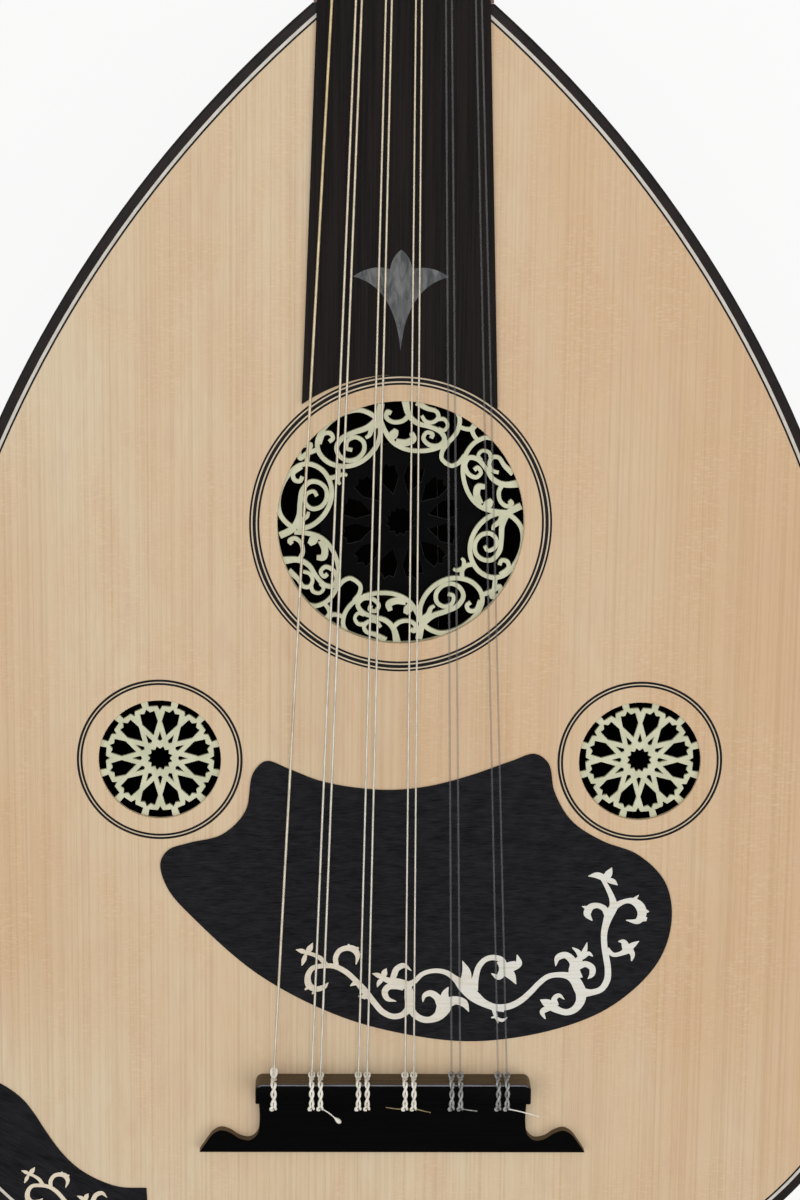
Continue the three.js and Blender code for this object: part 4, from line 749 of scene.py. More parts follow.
def addRosettes():
    top = boardLow - rosettes["gap"]
    low = top - rosettes["thickness"]
    y, radius = holes["smallY"], holes["smallRadius"]
    for name, x in (("bass", holes["bassX"]), ("treble", holes["trebleX"])):
        cuts = rayCuts(x, y, radius, [("smallKite", 0), ("bigKite", 0.5), ("slot", 0)])
        plate = addPlate(f"{name}Rosette", [circle(x, y, radius + rosettes["lap"])], cuts, low, top,
                         "rosette_pale", stands=[f"small_rosette_{name}"])
        softened(plate, rosettes["edge"])
    centre = rosettes["centreRadius"]
    x, y = holes["mainX"], holes["mainY"]
    cuts = rayCuts(x, y, centre, [("bigKite", 0.5)])
    plate = addPlate("rosetteCentre", [circle(x, y, centre + rosettes["centreLap"])], cuts,
                     low - rosettes["thickness"], low - rosettes["gap"], "rosette_black",
                     stands=["rosette_centre"])
    finishedWhere(plate, "rosette_edge", lambda middles, normals: np.abs(normals[:, 2]) < 0.5)
    softened(plate, rosettes["edge"])
    solids = []
    for middle, kind, hand in scrolls["places"]:
        for stroke in scrolls[kind]:
            angle, share, width = np.array(stroke).T
            course = polar(x, y, share * holes["mainRadius"], np.radians(middle + hand * angle))
            width = width * holes["mainRadius"] * rosettes["strokeShare"]
            solids.append(strokeOutline(np.column_stack([course, width]), 6))
    # the rim under the board's edge is a ring of four-cornered pieces, which the strokes run into
    sides = 144
    rim = circle(x, y, holes["mainRadius"] + rosettes["lap"], sides)
    inside = circle(x, y, holes["mainRadius"] - rosettes["rimOverlap"], sides)
    band = [np.vstack([rim[[i - sides, i + 1 - sides]], inside[[i + 1 - sides, i - sides]]])
            for i in range(sides)]
    addPlate("mainRosette", solids + band, [], low, top, "rosette_pale", stands=["main_rosette"])


addRosettes()
print("rosettes made")


# Guards and their vines
guards = {"left": -85.2, "bottom": 12.7, "width": 186.6, "height": 109.8, "thickness": 0.6,
          "edge": 0.2, "veneer": 0.06, "armTop": 3, "armRight": -88, "armHead": (-171.2, -1.1),
          "sprigAt": (-137.3, -38.3), "sprigTurn": 8, "sprigScale": 0.775,
          "outline": [(0.0, 0.62), (0.015, 0.665), (0.055, 0.69), (0.12, 0.72), (0.165, 0.8), (0.18, 0.93),
                      (0.205, 0.972), (0.25, 0.945), (0.31, 0.905), (0.38, 0.882), (0.45, 0.875),
                      (0.52, 0.888), (0.6, 0.925), (0.68, 0.975), (0.725, 1.0), (0.752, 0.968),
                      (0.765, 0.87), (0.8, 0.77), (0.86, 0.702), (0.93, 0.655), (0.985, 0.56),
                      (1.0, 0.43), (0.975, 0.28), (0.89, 0.13), (0.78, 0.045), (0.62, 0.0), (0.48, 0.025),
                      (0.34, 0.095), (0.19, 0.235), (0.07, 0.42), (0.015, 0.53)],
          "armEdge": [(0.12, 0), (0.24, 0.01), (0.33, 0.043), (0.42, 0.114), (0.473, 0.186), (0.525, 0.277),
                      (0.583, 0.369), (0.635, 0.434), (0.694, 0.487), (0.771, 0.533), (0.86, 0.565),
                      (0.98, 0.57)]}
# Vine strokes: across and up as shares of the pickguard, width in millimetres; the sprig comes first
vine = {
    "sprig": [
        ((0.324, 0.267, 1.9), (0.312, 0.292, 1.7), (0.296, 0.306, 1.4), (0.283, 0.312, 1.6)),
        ((0.285, 0.311, 0.9), (0.276, 0.317, 1.8), (0.264, 0.322, 0.2)),
        ((0.285, 0.312, 1.1), (0.291, 0.325, 2.2), (0.297, 0.346, 0.2)),
        ((0.284, 0.308, 0.9), (0.28, 0.287, 1.7), (0.276, 0.266, 0.3)),
        ((0.328, 0.207, 0.2), (0.32, 0.192, 1.7), (0.303, 0.184, 2.1), (0.29, 0.198, 2.5),
         (0.288, 0.231, 2.1), (0.297, 0.257, 1.8), (0.316, 0.265, 1.8), (0.339, 0.264, 1.9),
         (0.36, 0.247, 2), (0.382, 0.213, 2), (0.4, 0.176, 2.6), (0.416, 0.142, 2.2), (0.435, 0.104, 2.2),
         (0.455, 0.088, 2.1), (0.473, 0.093, 2.2), (0.486, 0.116, 2.9), (0.488, 0.158, 3.8),
         (0.484, 0.196, 2.4)),
        ((0.304, 0.184, 1.6), (0.3, 0.174, 1.2), (0.296, 0.166, 0.3)),
        ((0.292, 0.195, 1.9), (0.282, 0.181, 0.5)),
        ((0.344, 0.262, 1.8), (0.342, 0.294, 1.9), (0.35, 0.319, 1.9), (0.365, 0.328, 2.1),
         (0.378, 0.323, 2.5), (0.385, 0.302, 1.8), (0.382, 0.27, 0.3)),
        ((0.365, 0.325, 1.9), (0.368, 0.342, 0.5)),
        ((0.378, 0.32, 1.9), (0.387, 0.33, 0.7)),
        ((0.384, 0.309, 1.4), (0.39, 0.304, 0.5)),
        ((0.384, 0.208, 2.4), (0.378, 0.203, 1.6), (0.371, 0.195, 0.3)),
        ((0.403, 0.163, 2.4), (0.395, 0.157, 1.4), (0.387, 0.159, 0.3)),
        ((0.404, 0.16, 1.9), (0.398, 0.149, 0.5)),
        ((0.484, 0.196, 3.4), (0.466, 0.208, 2.9), (0.449, 0.213, 2.4), (0.434, 0.223, 1.6)),
        ((0.435, 0.223, 1.4), (0.425, 0.233, 1.8), (0.414, 0.239, 0.2)),
        ((0.437, 0.223, 1.2), (0.438, 0.242, 2.2), (0.442, 0.257, 0.2)),
        ((0.435, 0.22, 1.3), (0.428, 0.208, 1.7), (0.424, 0.191, 0.2)),
        ((0.451, 0.208, 1.4), (0.456, 0.229, 2.2), (0.462, 0.255, 2.2), (0.476, 0.267, 1.9),
         (0.491, 0.249, 0.2)),
        ((0.476, 0.189, 2.2), (0.461, 0.195, 2.4), (0.446, 0.192, 2.4), (0.439, 0.175, 2.3),
         (0.444, 0.151, 1.9), (0.462, 0.141, 0.2)),
    ],
    "rest": [
        ((0.482, 0.196, 2.9), (0.496, 0.21, 2), (0.513, 0.238, 1.7), (0.536, 0.249, 1.7),
         (0.559, 0.243, 1.9), (0.578, 0.22, 2.4), (0.592, 0.199, 4.3), (0.614, 0.161, 4.3),
         (0.635, 0.135, 2.9), (0.656, 0.121, 2.5), (0.675, 0.115, 2.5)),
        ((0.597, 0.197, 4.3), (0.599, 0.244, 3.2), (0.591, 0.284, 0.2)),
        ((0.611, 0.183, 4.3), (0.617, 0.225, 2.4), (0.623, 0.263, 2.1), (0.636, 0.289, 2),
         (0.652, 0.296, 2.1), (0.668, 0.287, 2.2), (0.674, 0.263, 2.4)),
        ((0.487, 0.128, 2.9), (0.498, 0.095, 2.5), (0.514, 0.078, 2.4), (0.53, 0.077, 2.5),
         (0.546, 0.092, 3.8), (0.556, 0.121, 5.3), (0.562, 0.145, 3.8)),
        ((0.549, 0.128, 2.9), (0.542, 0.156, 2.7), (0.528, 0.17, 2.3), (0.517, 0.161, 1.7),
         (0.514, 0.139, 0.3)),
        ((0.56, 0.135, 4.3), (0.579, 0.145, 3.2), (0.595, 0.135, 2.9), (0.605, 0.105, 0.2)),
        ((0.556, 0.149, 3.4), (0.558, 0.171, 2.4), (0.564, 0.192, 0.3)),
        ((0.663, 0.284, 2.1), (0.669, 0.266, 2.5), (0.669, 0.244, 2.7), (0.662, 0.228, 2.3),
         (0.648, 0.24, 0.3)),
        ((0.669, 0.251, 4.1), (0.686, 0.264, 3.9), (0.701, 0.276, 2.7), (0.698, 0.306, 0.3)),
        ((0.674, 0.255, 4.1), (0.687, 0.233, 3.2), (0.697, 0.203, 0.3)),
        ((0.635, 0.137, 2.5), (0.649, 0.124, 2.5), (0.667, 0.12, 2.5), (0.687, 0.126, 2.4),
         (0.707, 0.145, 2.3), (0.727, 0.177, 2.1), (0.741, 0.204, 2), (0.759, 0.229, 2), (0.779, 0.236, 2),
         (0.799, 0.232, 2.7), (0.812, 0.218, 3.7), (0.821, 0.191, 4.1), (0.826, 0.173, 4.1)),
        ((0.653, 0.116, 1.4), (0.658, 0.091, 1.3), (0.663, 0.065, 0.3)),
        ((0.66, 0.082, 1.1), (0.671, 0.075, 1.3), (0.681, 0.085, 0.2)),
        ((0.657, 0.087, 1.1), (0.649, 0.084, 0.4)),
        ((0.826, 0.173, 4.1), (0.824, 0.141, 3.3), (0.813, 0.114, 2.7), (0.798, 0.104, 2.4),
         (0.78, 0.112, 2.6), (0.765, 0.13, 4.1)),
        ((0.765, 0.13, 3.7), (0.755, 0.139, 2.7), (0.745, 0.148, 0.2)),
        ((0.775, 0.128, 2.7), (0.773, 0.152, 2), (0.782, 0.163, 1.6), (0.793, 0.149, 0.2)),
        ((0.764, 0.121, 2.3), (0.75, 0.105, 2), (0.756, 0.08, 0.4)),
        ((0.815, 0.222, 5), (0.811, 0.254, 4.1), (0.815, 0.276, 3.7), (0.823, 0.296, 2)),
        ((0.824, 0.296, 2), (0.818, 0.316, 1.8), (0.806, 0.332, 0.3)),
        ((0.824, 0.294, 1.8), (0.831, 0.323, 1.7), (0.835, 0.35, 0.2)),
        ((0.826, 0.296, 1.6), (0.838, 0.311, 1.6), (0.847, 0.301, 0.3)),
        ((0.811, 0.254, 2.7), (0.807, 0.285, 2.8), (0.793, 0.305, 2.5), (0.778, 0.296, 2.2),
         (0.774, 0.266, 0.2)),
        ((0.817, 0.265, 2.7), (0.833, 0.274, 2.3), (0.846, 0.26, 2.3), (0.846, 0.238, 2),
         (0.838, 0.222, 0.3)),
        ((0.825, 0.173, 4.1), (0.846, 0.174, 2.4), (0.865, 0.186, 2.3), (0.876, 0.218, 2.4),
         (0.877, 0.258, 2.3), (0.873, 0.299, 2.3), (0.869, 0.339, 2.2), (0.868, 0.384, 2.3),
         (0.872, 0.419, 2.7), (0.877, 0.446, 3.3), (0.885, 0.473, 3.2)),
        ((0.874, 0.326, 2), (0.887, 0.307, 1.6), (0.903, 0.312, 1.8), (0.917, 0.328, 3.2),
         (0.922, 0.337, 2.3)),
        ((0.915, 0.33, 2.3), (0.925, 0.341, 2.1), (0.937, 0.355, 0.2)),
        ((0.913, 0.328, 3.2), (0.906, 0.352, 2), (0.896, 0.354, 0.3)),
        ((0.919, 0.328, 2.3), (0.925, 0.306, 1.7), (0.923, 0.285, 0.4)),
        ((0.875, 0.442, 2.6), (0.867, 0.468, 2.2), (0.853, 0.479, 2), (0.84, 0.473, 2.5), (0.834, 0.45, 2.7),
         (0.844, 0.426, 0.3)),
        ((0.838, 0.468, 2.3), (0.823, 0.476, 0.2)),
        ((0.882, 0.464, 2.7), (0.893, 0.482, 2.2), (0.91, 0.495, 1.8), (0.925, 0.493, 2.7),
         (0.938, 0.473, 3.4), (0.941, 0.446, 3.2), (0.933, 0.425, 2.3), (0.91, 0.428, 0.2)),
        ((0.923, 0.493, 2.3), (0.928, 0.505, 1.2), (0.934, 0.516, 0.2)),
        ((0.941, 0.46, 2.7), (0.949, 0.459, 1.6), (0.955, 0.458, 0.2)),
        ((0.941, 0.435, 2.7), (0.951, 0.431, 1.4)),
        ((0.886, 0.473, 3.2), (0.882, 0.504, 2.2), (0.874, 0.535, 1.8), (0.866, 0.561, 1.6),
         (0.863, 0.575, 2.3)),
        ((0.868, 0.573, 2.3), (0.851, 0.584, 2.3), (0.834, 0.581, 0.2)),
        ((0.867, 0.57, 2.1), (0.874, 0.59, 2.7), (0.88, 0.611, 0.2)),
        ((0.871, 0.569, 1.8), (0.883, 0.562, 2), (0.892, 0.55, 0.2)),
    ],
}


def inPickguard(stroke):
    across, up, width = np.array(stroke).T
    return np.column_stack([guards["left"] + across * guards["width"],
                            guards["bottom"] + up * guards["height"], width])


def addVine(name, strokes, node):
    thick = guards["thickness"]
    addPlate(name, [strokeOutline(stroke) for stroke in strokes], [], thick, thick + guards["veneer"],
             "vine_pale", stands=[node])


def addGuards():
    size, corner = [guards["width"], guards["height"]], [guards["left"], guards["bottom"]]
    shape, thick = np.array(guards["outline"]) * size + corner, guards["thickness"]
    softened(addPlate("pickguard", [smoothCurve(shape, 8, closed=True)], [], 0, thick, "guard_black",
                      stands=["pickguard"]), guards["edge"])
    addVine("pickguardVine", map(inPickguard, vine["sprig"] + vine["rest"]), "pickguard_vine")
    # the arm guard lies along the inner line of the edge, from its head round to its tail
    inset = body["bindingWidth"] + body["whiteLine"] + body["blackLine"]
    half = halfOutline(inset, jointY, steps=armSteps)
    rim = half[(half[:, 0] > -guards["armRight"]) & (half[:, 1] < guards["armTop"])] * [-1, 1]
    tail, head = rim[0], np.array(guards["armHead"])
    edge = smoothCurve(np.vstack([head[None], head + np.array(guards["armEdge"]) * (tail - head)]), 6)[1:]
    rim = rim[rim[:, 1] < head[1]]
    softened(addPlate("armGuard", [np.vstack([rim, head[None], edge])], [], 0, thick, "guard_diagonal",
                      stands=["arm_guard"], slot="guard_black"), guards["edge"])
    turn, scale = radians(guards["sprigTurn"]), guards["sprigScale"]
    tip = inPickguard(vine["sprig"][1])[-1, :2]
    spin = np.array([[cos(turn), -sin(turn)], [sin(turn), cos(turn)]]) * scale
    moved = [np.column_stack([(stroke[:, :2] - tip) @ spin + guards["sprigAt"], stroke[:, 2] * scale])
             for stroke in map(inPickguard, vine["sprig"])]
    addVine("armGuardVine", moved, "arm_guard_vine")


addGuards()
print("guards made")


# Fingerboard, tulip, neck and nut
neck = {"length": 585, "nutHalfWidth": 23.25, "endHalfWidth": 34.5, "endRadius": 58.3,
        "endX": -0.7, "endY": -4.3, "boardThickness": 1.8, "boardEdge": 0.35,
        "tulipTop": 304.9, "tulipHeight": 35.7, "tulipHalfWidth": 16.8, "tulipDeep": 0.5, "tulipProud": 0.03,
        "depthAtNut": 17.5, "fairing": 2.4, "squareFrom": 0.7, "squareness": 1.1, "leanFrom": 0.72,
        "nutDepth": 5, "nutAboveString": 0.5, "slotClearance": 0.08, "nutEndEase": 0.6, "nutEndDrop": 0.14,
        "nutSection": [(0.02, 0), (0, 0.62), (0.05, 0.86), (0.16, 0.97), (0.35, 1.0), (0.65, 1.0),
                       (0.84, 0.97), (0.95, 0.86), (1, 0.62), (0.98, 0)],
        "pegboxRun": 130, "tipDepth": 20}
# Half of the tulip, as shares of its half width and height: each petal edge is a quadratic curve
tulip = {"top": (0, 0), "petalBulge": (0.19, 0.06), "petal": (0.23, 0.19), "sideBulge": (0.62, 0.14),
         "tip": (1, 0.265), "stemBulge": (0.12, 0.36), "bottom": (0, 1)}
nutBackY = neck["length"] + neck["nutDepth"]
bowlBottom = boardLow - halfWidth * cos(staveAngle / 2)
tipReach = hypot(neck["pegboxRun"], bowlBottom)
slope = atan2(-bowlBottom, neck["pegboxRun"]) - asin(neck["tipDepth"] / tipReach)


def quadratic(start, bulge, end, count=16):  # start (1-t)^2 + 2 bulge t (1-t) + end t^2
    t = np.linspace(0, 1, count, endpoint=False)[:, None]
    return np.array(start) * (1 - t) ** 2 + 2 * np.array(bulge) * t * (1 - t) + np.array(end) * t ** 2


def tulipOutline():
    size = np.array([neck["tulipHalfWidth"], -neck["tulipHeight"]])
    points = [np.array(value) * size for value in tulip.values()]
    right = np.vstack([quadratic(*points[i:i + 3]) for i in (0, 2, 4)] + points[-1:])
    return np.vstack([right, (right * [-1, 1])[-2:0:-1]]) + [0, neck["tulipTop"]]


def addFingerboard():
    half, x = neck["endHalfWidth"], neck["endX"]
    left, right = (asin((edge - x) / neck["endRadius"]) for edge in (-half, half))
    y = holes["mainY"] - holes["ringDrop"] + neck["endY"]
    end = polar(x, y, neck["endRadius"], np.linspace(left, right, 49))
    corners = [[neck["nutHalfWidth"], neck["length"]], [-neck["nutHalfWidth"], neck["length"]]]
    top = neck["boardThickness"]
    softened(addPlate("fingerboard", [np.vstack([end, corners])], [], 0, top, "fingerboard_black",
                      stands=["fingerboard"]), neck["boardEdge"])
    addPlate("fingerboardTulip", [tulipOutline()], [], top - neck["tulipDeep"], top + neck["tulipProud"],
             "inlay_pearl", stands=["fingerboard_inlay"])


def addNeck():
    # A half oval that thins from the joint and grows squarer towards the nut, where its end leans back to
    # the pegbox's face
    share = np.linspace(0, 1, 61)[:, None]
    run = (nutBackY - jointY) / (neck["length"] - jointY)
    depthAtJoint = body["jointHalfWidth"] + body["boardThickness"]
    fall = np.maximum(1 - share * run, 0) ** neck["fairing"]
    depth = neck["depthAtNut"] + (depthAtJoint - neck["depthAtNut"]) * fall
    wide, narrow = body["jointHalfWidth"], neck["nutHalfWidth"]
    half = wide + (narrow - wide) * np.minimum(share * run, 1)
    turn = np.linspace(0, pi, 41)[None, :]
    late, last = (np.clip((share - start) / (1 - start), 0, 1) ** 2
                  for start in (neck["squareFrom"], neck["leanFrom"]))
    power = 2 / (2 + neck["squareness"] * late)
    x = half * np.sign(np.cos(turn)) * np.abs(np.cos(turn)) ** power
    z = -depth * np.abs(np.sin(turn)) ** power
    y = jointY + share * (nutBackY - jointY) + last * z * tan(slope)
    addCarried("neck", np.stack([x, y + 0 * x, z], -1), "neck_wood", stands=["neck"], sharp=50)


def stringPlaces(courseGap, pairGap, shift):
    steps = np.where(np.arange(1, 11) % 2, courseGap, pairGap)
    places = np.concatenate([[0], np.cumsum(steps)])
    return places - places[-1] / 2 + shift


# Strings: courses and pairs are spaced at the bridge and at the nut; the wound strings look thinner than
# the model's by lookShare
strings = {"diameters": [1.2, 1.05, 1.05, 0.95, 0.95, 0.85, 0.85, 0.8, 0.8, 0.75, 0.75],
           "atBridge": {"courseGap": 13.9, "pairGap": 3.2, "shift": -1.05},
           "atNut": {"courseGap": 5.4, "pairGap": 1.43, "shift": 1.9},
           "heightAtBridge": 7, "heightAtNut": 3.1, "lookShare": 0.8, "nylonFrom": 7, "sides": 12,
           "turns": 2, "stepsPerTurn": 28, "windingGap": 0.35, "windingSpace": 0.5, "landShare": 0.72,
           "startAt": (-4, 1.1, 2.0),
           "finishes": ["string_gold"] + ["string_silver"] * 6 + ["string_nylon"] * 4}
bridgePlaces, nutPlaces = stringPlaces(**strings["atBridge"]), stringPlaces(**strings["atNut"])


def addNut():
    # An eased section carried across, lowered to each string's slot with a round dip
    half, top = neck["nutHalfWidth"], strings["heightAtNut"] + neck["nutAboveString"]
    x = np.linspace(-half, half, 420)
    height = np.full(len(x), top)
    for place, diameter in zip(nutPlaces, strings["diameters"]):
        radius = diameter / 2 + neck["slotClearance"]
        dip = np.clip(1 - ((x - place) / radius) ** 2, 0, 1) ** 0.35
        height = np.minimum(height, top - dip * (top - strings["heightAtNut"] + diameter / 2))
    ease = np.clip((half - np.abs(x)) / neck["nutEndEase"], 0, 1) ** 0.5
    height = height * (1 - neck["nutEndDrop"] + neck["nutEndDrop"] * ease)
    place, share = np.array(neck["nutSection"]).T
    y = neck["length"] + place * neck["nutDepth"]
    rings = np.stack([*np.broadcast_arrays(x[:, None], y[None, :]), height[:, None] * share], -1)
    addCarried("nut", rings, "nut_bone", stands=["nut"], sharp=50)


addFingerboard()
addNeck()
addNut()
print("neck made")


# Bridge: a tie block on a thin plate whose ends curl out into a moustache
bridge = {"halfWidth": 50.5, "blockHeight": 11.5, "blockDepth": 8, "plateHeight": 4, "plateDepth": 29.5,
          "tipHalfWidth": 71.2, "cornerRound": 2.6, "rearRound": 0.5, "leastRound": 0.3, "plateEdge": 0.7,
          "foot": [(0.0, 0.5), (0.6, 0.1), (2.0, 0.0), (7.0, 0.0)],
          "crown": [(0.9, 0.0), (0.45, 0.12), (0.15, 0.34), (0, 0.75)],
          "moustache": [(-0.05, 0.25), (-0.07, 0.6), (-0.03, 0.76), (0.1, 0.84), (0.28, 0.82), (0.46, 0.74),
                        (0.62, 0.71), (0.76, 0.76), (0.88, 0.87), (1, 1)]}


def addBridge():
    half, deep, high = (bridge[key] for key in ("halfWidth", "blockDepth", "blockHeight"))
    # block: a rounded oblong in plan, drawn in towards foot and crown, as rings stacked in height
    levels = bridge["foot"] + [(high - below, inset) for below, inset in bridge["crown"]]
    corner = np.linspace(0, pi / 2, 9)
    rings = []
    for z, inset in levels:
        a, b = half - inset, deep - inset
        r, tight = max(bridge["cornerRound"] - inset, bridge["leastRound"]), bridge["rearRound"]
        front = np.column_stack([a - r + r * np.sin(corner), -inset - r + r * np.cos(corner)])
        rear = np.column_stack([a - tight + tight * np.cos(corner), -b + tight - tight * np.sin(corner)])
        right = np.vstack([front, rear])
        plan = np.vstack([right, (right * [-1, 1])[::-1]])
        rings.append(np.column_stack([plan, np.full(len(plan), z)]))
    block = addCarried("bridgeBlock", np.array(rings), "bridge_black", stands=["bridge"], sharp=30)
    # bare wood on the faces that look to the strings, and a painted highlight along the front top edge
    finishedWhere(block, "bridge_matte", lambda middles, normals: normals[:, 1] > 0.6)
    finishedWhere(block, "bridge_painted_highlight", lambda middles, normals: (middles[:, 2] > high - 0.6)
                  & (normals[:, 1] > 0.25) & (normals[:, 2] > 0.3))
    reach = bridge["tipHalfWidth"] - half
    side = np.array(bridge["moustache"]) * [reach, -bridge["plateDepth"]] + [half, 0]
    side = smoothCurve(side, 8)
    plate = addPlate("bridgePlate", [np.vstack([side, (side * [-1, 1])[::-1]])], [], 0, bridge["plateHeight"],
                     "bridge_black", stands=["bridge"])
    softened(plate, bridge["plateEdge"], 3)
    finishedWhere(plate, "bridge_matte", lambda middles, normals: normals[:, 1] > 0.3)


addBridge()
print("bridge made")


# Pegbox in its own frame: s runs down its length, z out of its open side, from the nut's back
pegbox = {"tipHalfWidth": 13, "bow": 4, "cheek": 4, "back": 4, "heelLength": 8, "heelDrop": 7,
          "endLength": 14, "firstPeg": 24, "pegSpacing": 16.6, "holeClearance": 0.15, "fitGap": 0.05,
          "cheekEdge": 0.4, "backEase": 1.2, "heelEase": 0.4, "endEase": 0.6, "sink": 1}
pegs = {"count": 11, "headRadius": 4.2, "tipRadius": 3.2, "collarStand": 3,
        "collarRadius": 5.6, "collarWidth": 2, "waist": 4, "waistRadius": 3.1, "thumb": 23,
        "thumbHalfWidth": 9.5, "thumbHalfDepth": 3.6, "turnStep": 37, "hollow": 0.1,
        "tipEase": [(-1, -0.6), (-0.8, -0.15), (-0.4, 0)], "beadFrom": 0.25, "beadRound": 0.6,
        "neckEase": [(0.2, 0.5), (1, 0)], "thumbEnd": (0.25, -1.2, -0.9),
        "thumbShape": [(0, 0.33, 0.86), (0.14, 0.72, 0.97), (0.38, 1, 1), (0.66, 0.93, 0.9),
                       (0.88, 0.62, 0.7), (1, 0.24, 0.4)]}
boxLength = sqrt(tipReach ** 2 - neck["tipDepth"] ** 2) - body["seatGap"]
originY = nutBackY + body["seatGap"] * cos(slope)
originZ = -body["seatGap"] * sin(slope)
startDepth = neck["depthAtNut"] / cos(slope)


def boxDepth(s):
    return startDepth + (neck["tipDepth"] - startDepth) * (s / boxLength)


def boxBow(s):  # the open edge sags by the bow at the middle of its length
    return -4 * pegbox["bow"] * (s / boxLength) * (1 - s / boxLength)


def boxHalf(s):
    return neck["nutHalfWidth"] + (pegbox["tipHalfWidth"] - neck["nutHalfWidth"]) * (s / boxLength)


def pegHeight(s):
    return boxBow(s) - boxDepth(s) / 2


def boxBack(s):
    return boxBow(s) - boxDepth(s)


def boxFloor(s):
    return boxBack(s) + pegbox["back"]


def boxInside(s):
    return boxHalf(s) - pegbox["cheek"] - pegbox["fitGap"]


def fromBox(points):  # x, s, z of the pegbox to x, y, z
    x, s, z = np.moveaxis(np.asarray(points, float), -1, 0)
    y = originY + s * cos(slope) + z * sin(slope)
    return np.stack([x, y, originZ - s * sin(slope) + z * cos(slope)], -1)


def intoBox(y, z):
    y, z = y - originY, z - originZ
    return y * cos(slope) - z * sin(slope), y * sin(slope) + z * cos(slope)


# Where each peg lies along the pegbox, and the side of its thumb
pegPlaces = [(pegbox["firstPeg"] + i * pegbox["pegSpacing"], i % 2 * 2 - 1) for i in range(pegs["count"])]


def pegRadius(x, side, s):  # the shank tapers evenly from the thumb's side to the other
    share = (boxHalf(s) - side * x) / (2 * boxHalf(s))
    return pegs["headRadius"] + (pegs["tipRadius"] - pegs["headRadius"]) * share


def addCheek(name, side, node):
    s = np.linspace(0, boxLength, 60)
    top = np.column_stack([s, boxBow(s)])
    low = np.column_stack([s, boxFloor(s) + pegbox["fitGap"]])
    bores = []
    for place, handle in pegPlaces:
        radius = pegRadius(side * boxHalf(place), handle, place) + pegbox["holeClearance"]
        bores.append(circle(place, pegHeight(place), radius, 40))

    def bend(points):  # the plate's two faces become the cheek's outside and inside, which lean in
        s, z, outer = points.T
        return fromBox(np.column_stack([side * (boxHalf(s) - pegbox["cheek"] * (1 - outer)), s, z]))

    plate = addPlate(name, [np.vstack([low, top[::-1]])], bores, 0, 1, "neck_wood", bend=bend, stands=[node])
    softened(plate, pegbox["cheekEdge"])


def easedSection(left, right, low, high, ease):
    # A four-sided section whose corners are quarter circles, as rings over the stations
    turn = np.array([0, pi / 6, pi / 3, pi / 2])
    corners = []
    for x, z, start in ((right, high, 0), (left, high, pi / 2), (left, low, pi), (right, low, 3 * pi / 2)):
        signX, signZ = np.sign(np.cos(start + pi / 4)), np.sign(np.sin(start + pi / 4))
        corners.append(np.stack([x[:, None] - signX * ease + ease * np.cos(start + turn),
                                 z[:, None] - signZ * ease + ease * np.sin(start + turn)], -1))
    return np.concatenate(corners, axis=1)


def addBeam(name, start, end, half, low, high, ease, count=50, **facts):
    s = np.linspace(start, end, count)
    section = easedSection(-half(s), half(s), low(s), high(s), ease)
    rings = np.stack([section[..., 0], np.broadcast_to(s[:, None], section.shape[:2]), section[..., 1]], -1)
    addCarried(name, fromBox(rings), "neck_wood", sharp=40, **facts)


def addPegbox():
    addCheek("pegboxCheekBass", -1, "pegbox_cheek_bass")
    addCheek("pegboxCheekTreble", 1, "pegbox_cheek_treble")

    def sunk(s):  # the two blocks reach a little into the back
        return boxFloor(s) - pegbox["sink"]

    def heelTop(s):
        return 0 * s - pegbox["heelDrop"]

    stands, heel, end = ["pegbox_back"], pegbox["heelLength"], boxLength - pegbox["endLength"]
    addBeam("pegboxBack", 0, boxLength, boxHalf, boxBack, boxFloor, pegbox["backEase"], stands=stands)
    addBeam("pegboxHeel", 0, heel, boxInside, sunk, heelTop, pegbox["heelEase"], 6, stands=stands)
    addBeam("pegboxEnd", end, boxLength, boxInside, sunk, boxBow, pegbox["endEase"], 12, stands=stands)


def pegProfile(out):
    # Stations of a peg from its tip to its thumb: place, half width and half depth
    collar, wide = out + pegs["collarStand"], pegs["collarWidth"]
    head, ring = pegs["headRadius"], pegs["collarRadius"]
    shank = [(x - out, pegs["tipRadius"] + r) for x, r in pegs["tipEase"]] + [(out, head), (collar, head)]
    bead = [(collar + wide * (1 - cos(a)) / 2, head + (ring - head) * sin(a) ** pegs["beadRound"])
            for a in np.linspace(pegs["beadFrom"], pi - pegs["beadFrom"], 9)]
    stem = [(collar + wide + x, pegs["waistRadius"] + r) for x, r in pegs["neckEase"]]
    turned = np.array([(x, r, r) for x, r in shank + bead + stem])
    size = [pegs["thumb"], pegs["thumbHalfWidth"], pegs["thumbHalfDepth"]]
    thumb = np.array(pegs["thumbShape"]) * size + [collar + wide + pegs["waist"], 0, 0]
    thumb = smoothCurve(np.vstack([thumb, [thumb[-1] + pegs["thumbEnd"]]]), 7)
    return np.vstack([turned, thumb])


def addPegs():
    for number, (place, side) in enumerate(pegPlaces):
        profile = pegProfile(boxHalf(place))
        angle = 2 * pi * np.arange(32) / 32
        wide = profile[:, 1:2] * np.cos(angle)
        deep = profile[:, 2:3] * np.sin(angle) * (1 - pegs["hollow"] * np.cos(angle) ** 2)
        turn = radians(number * pegs["turnStep"])
        s = place + wide * cos(turn) - deep * sin(turn)
        z = pegHeight(place) + wide * sin(turn) + deep * cos(turn)
        x = np.broadcast_to(side * profile[:, :1], s.shape)
        addCarried(f"peg{number + 1}", fromBox(np.stack([x, s, z], -1)), "peg_wood", sharp=50,
                   body=f"peg_body_{number + 1}", stands=[f"peg_{number + 1}"], shift=0.11 * number)


addPegbox()
addPegs()
print("pegbox and pegs made")


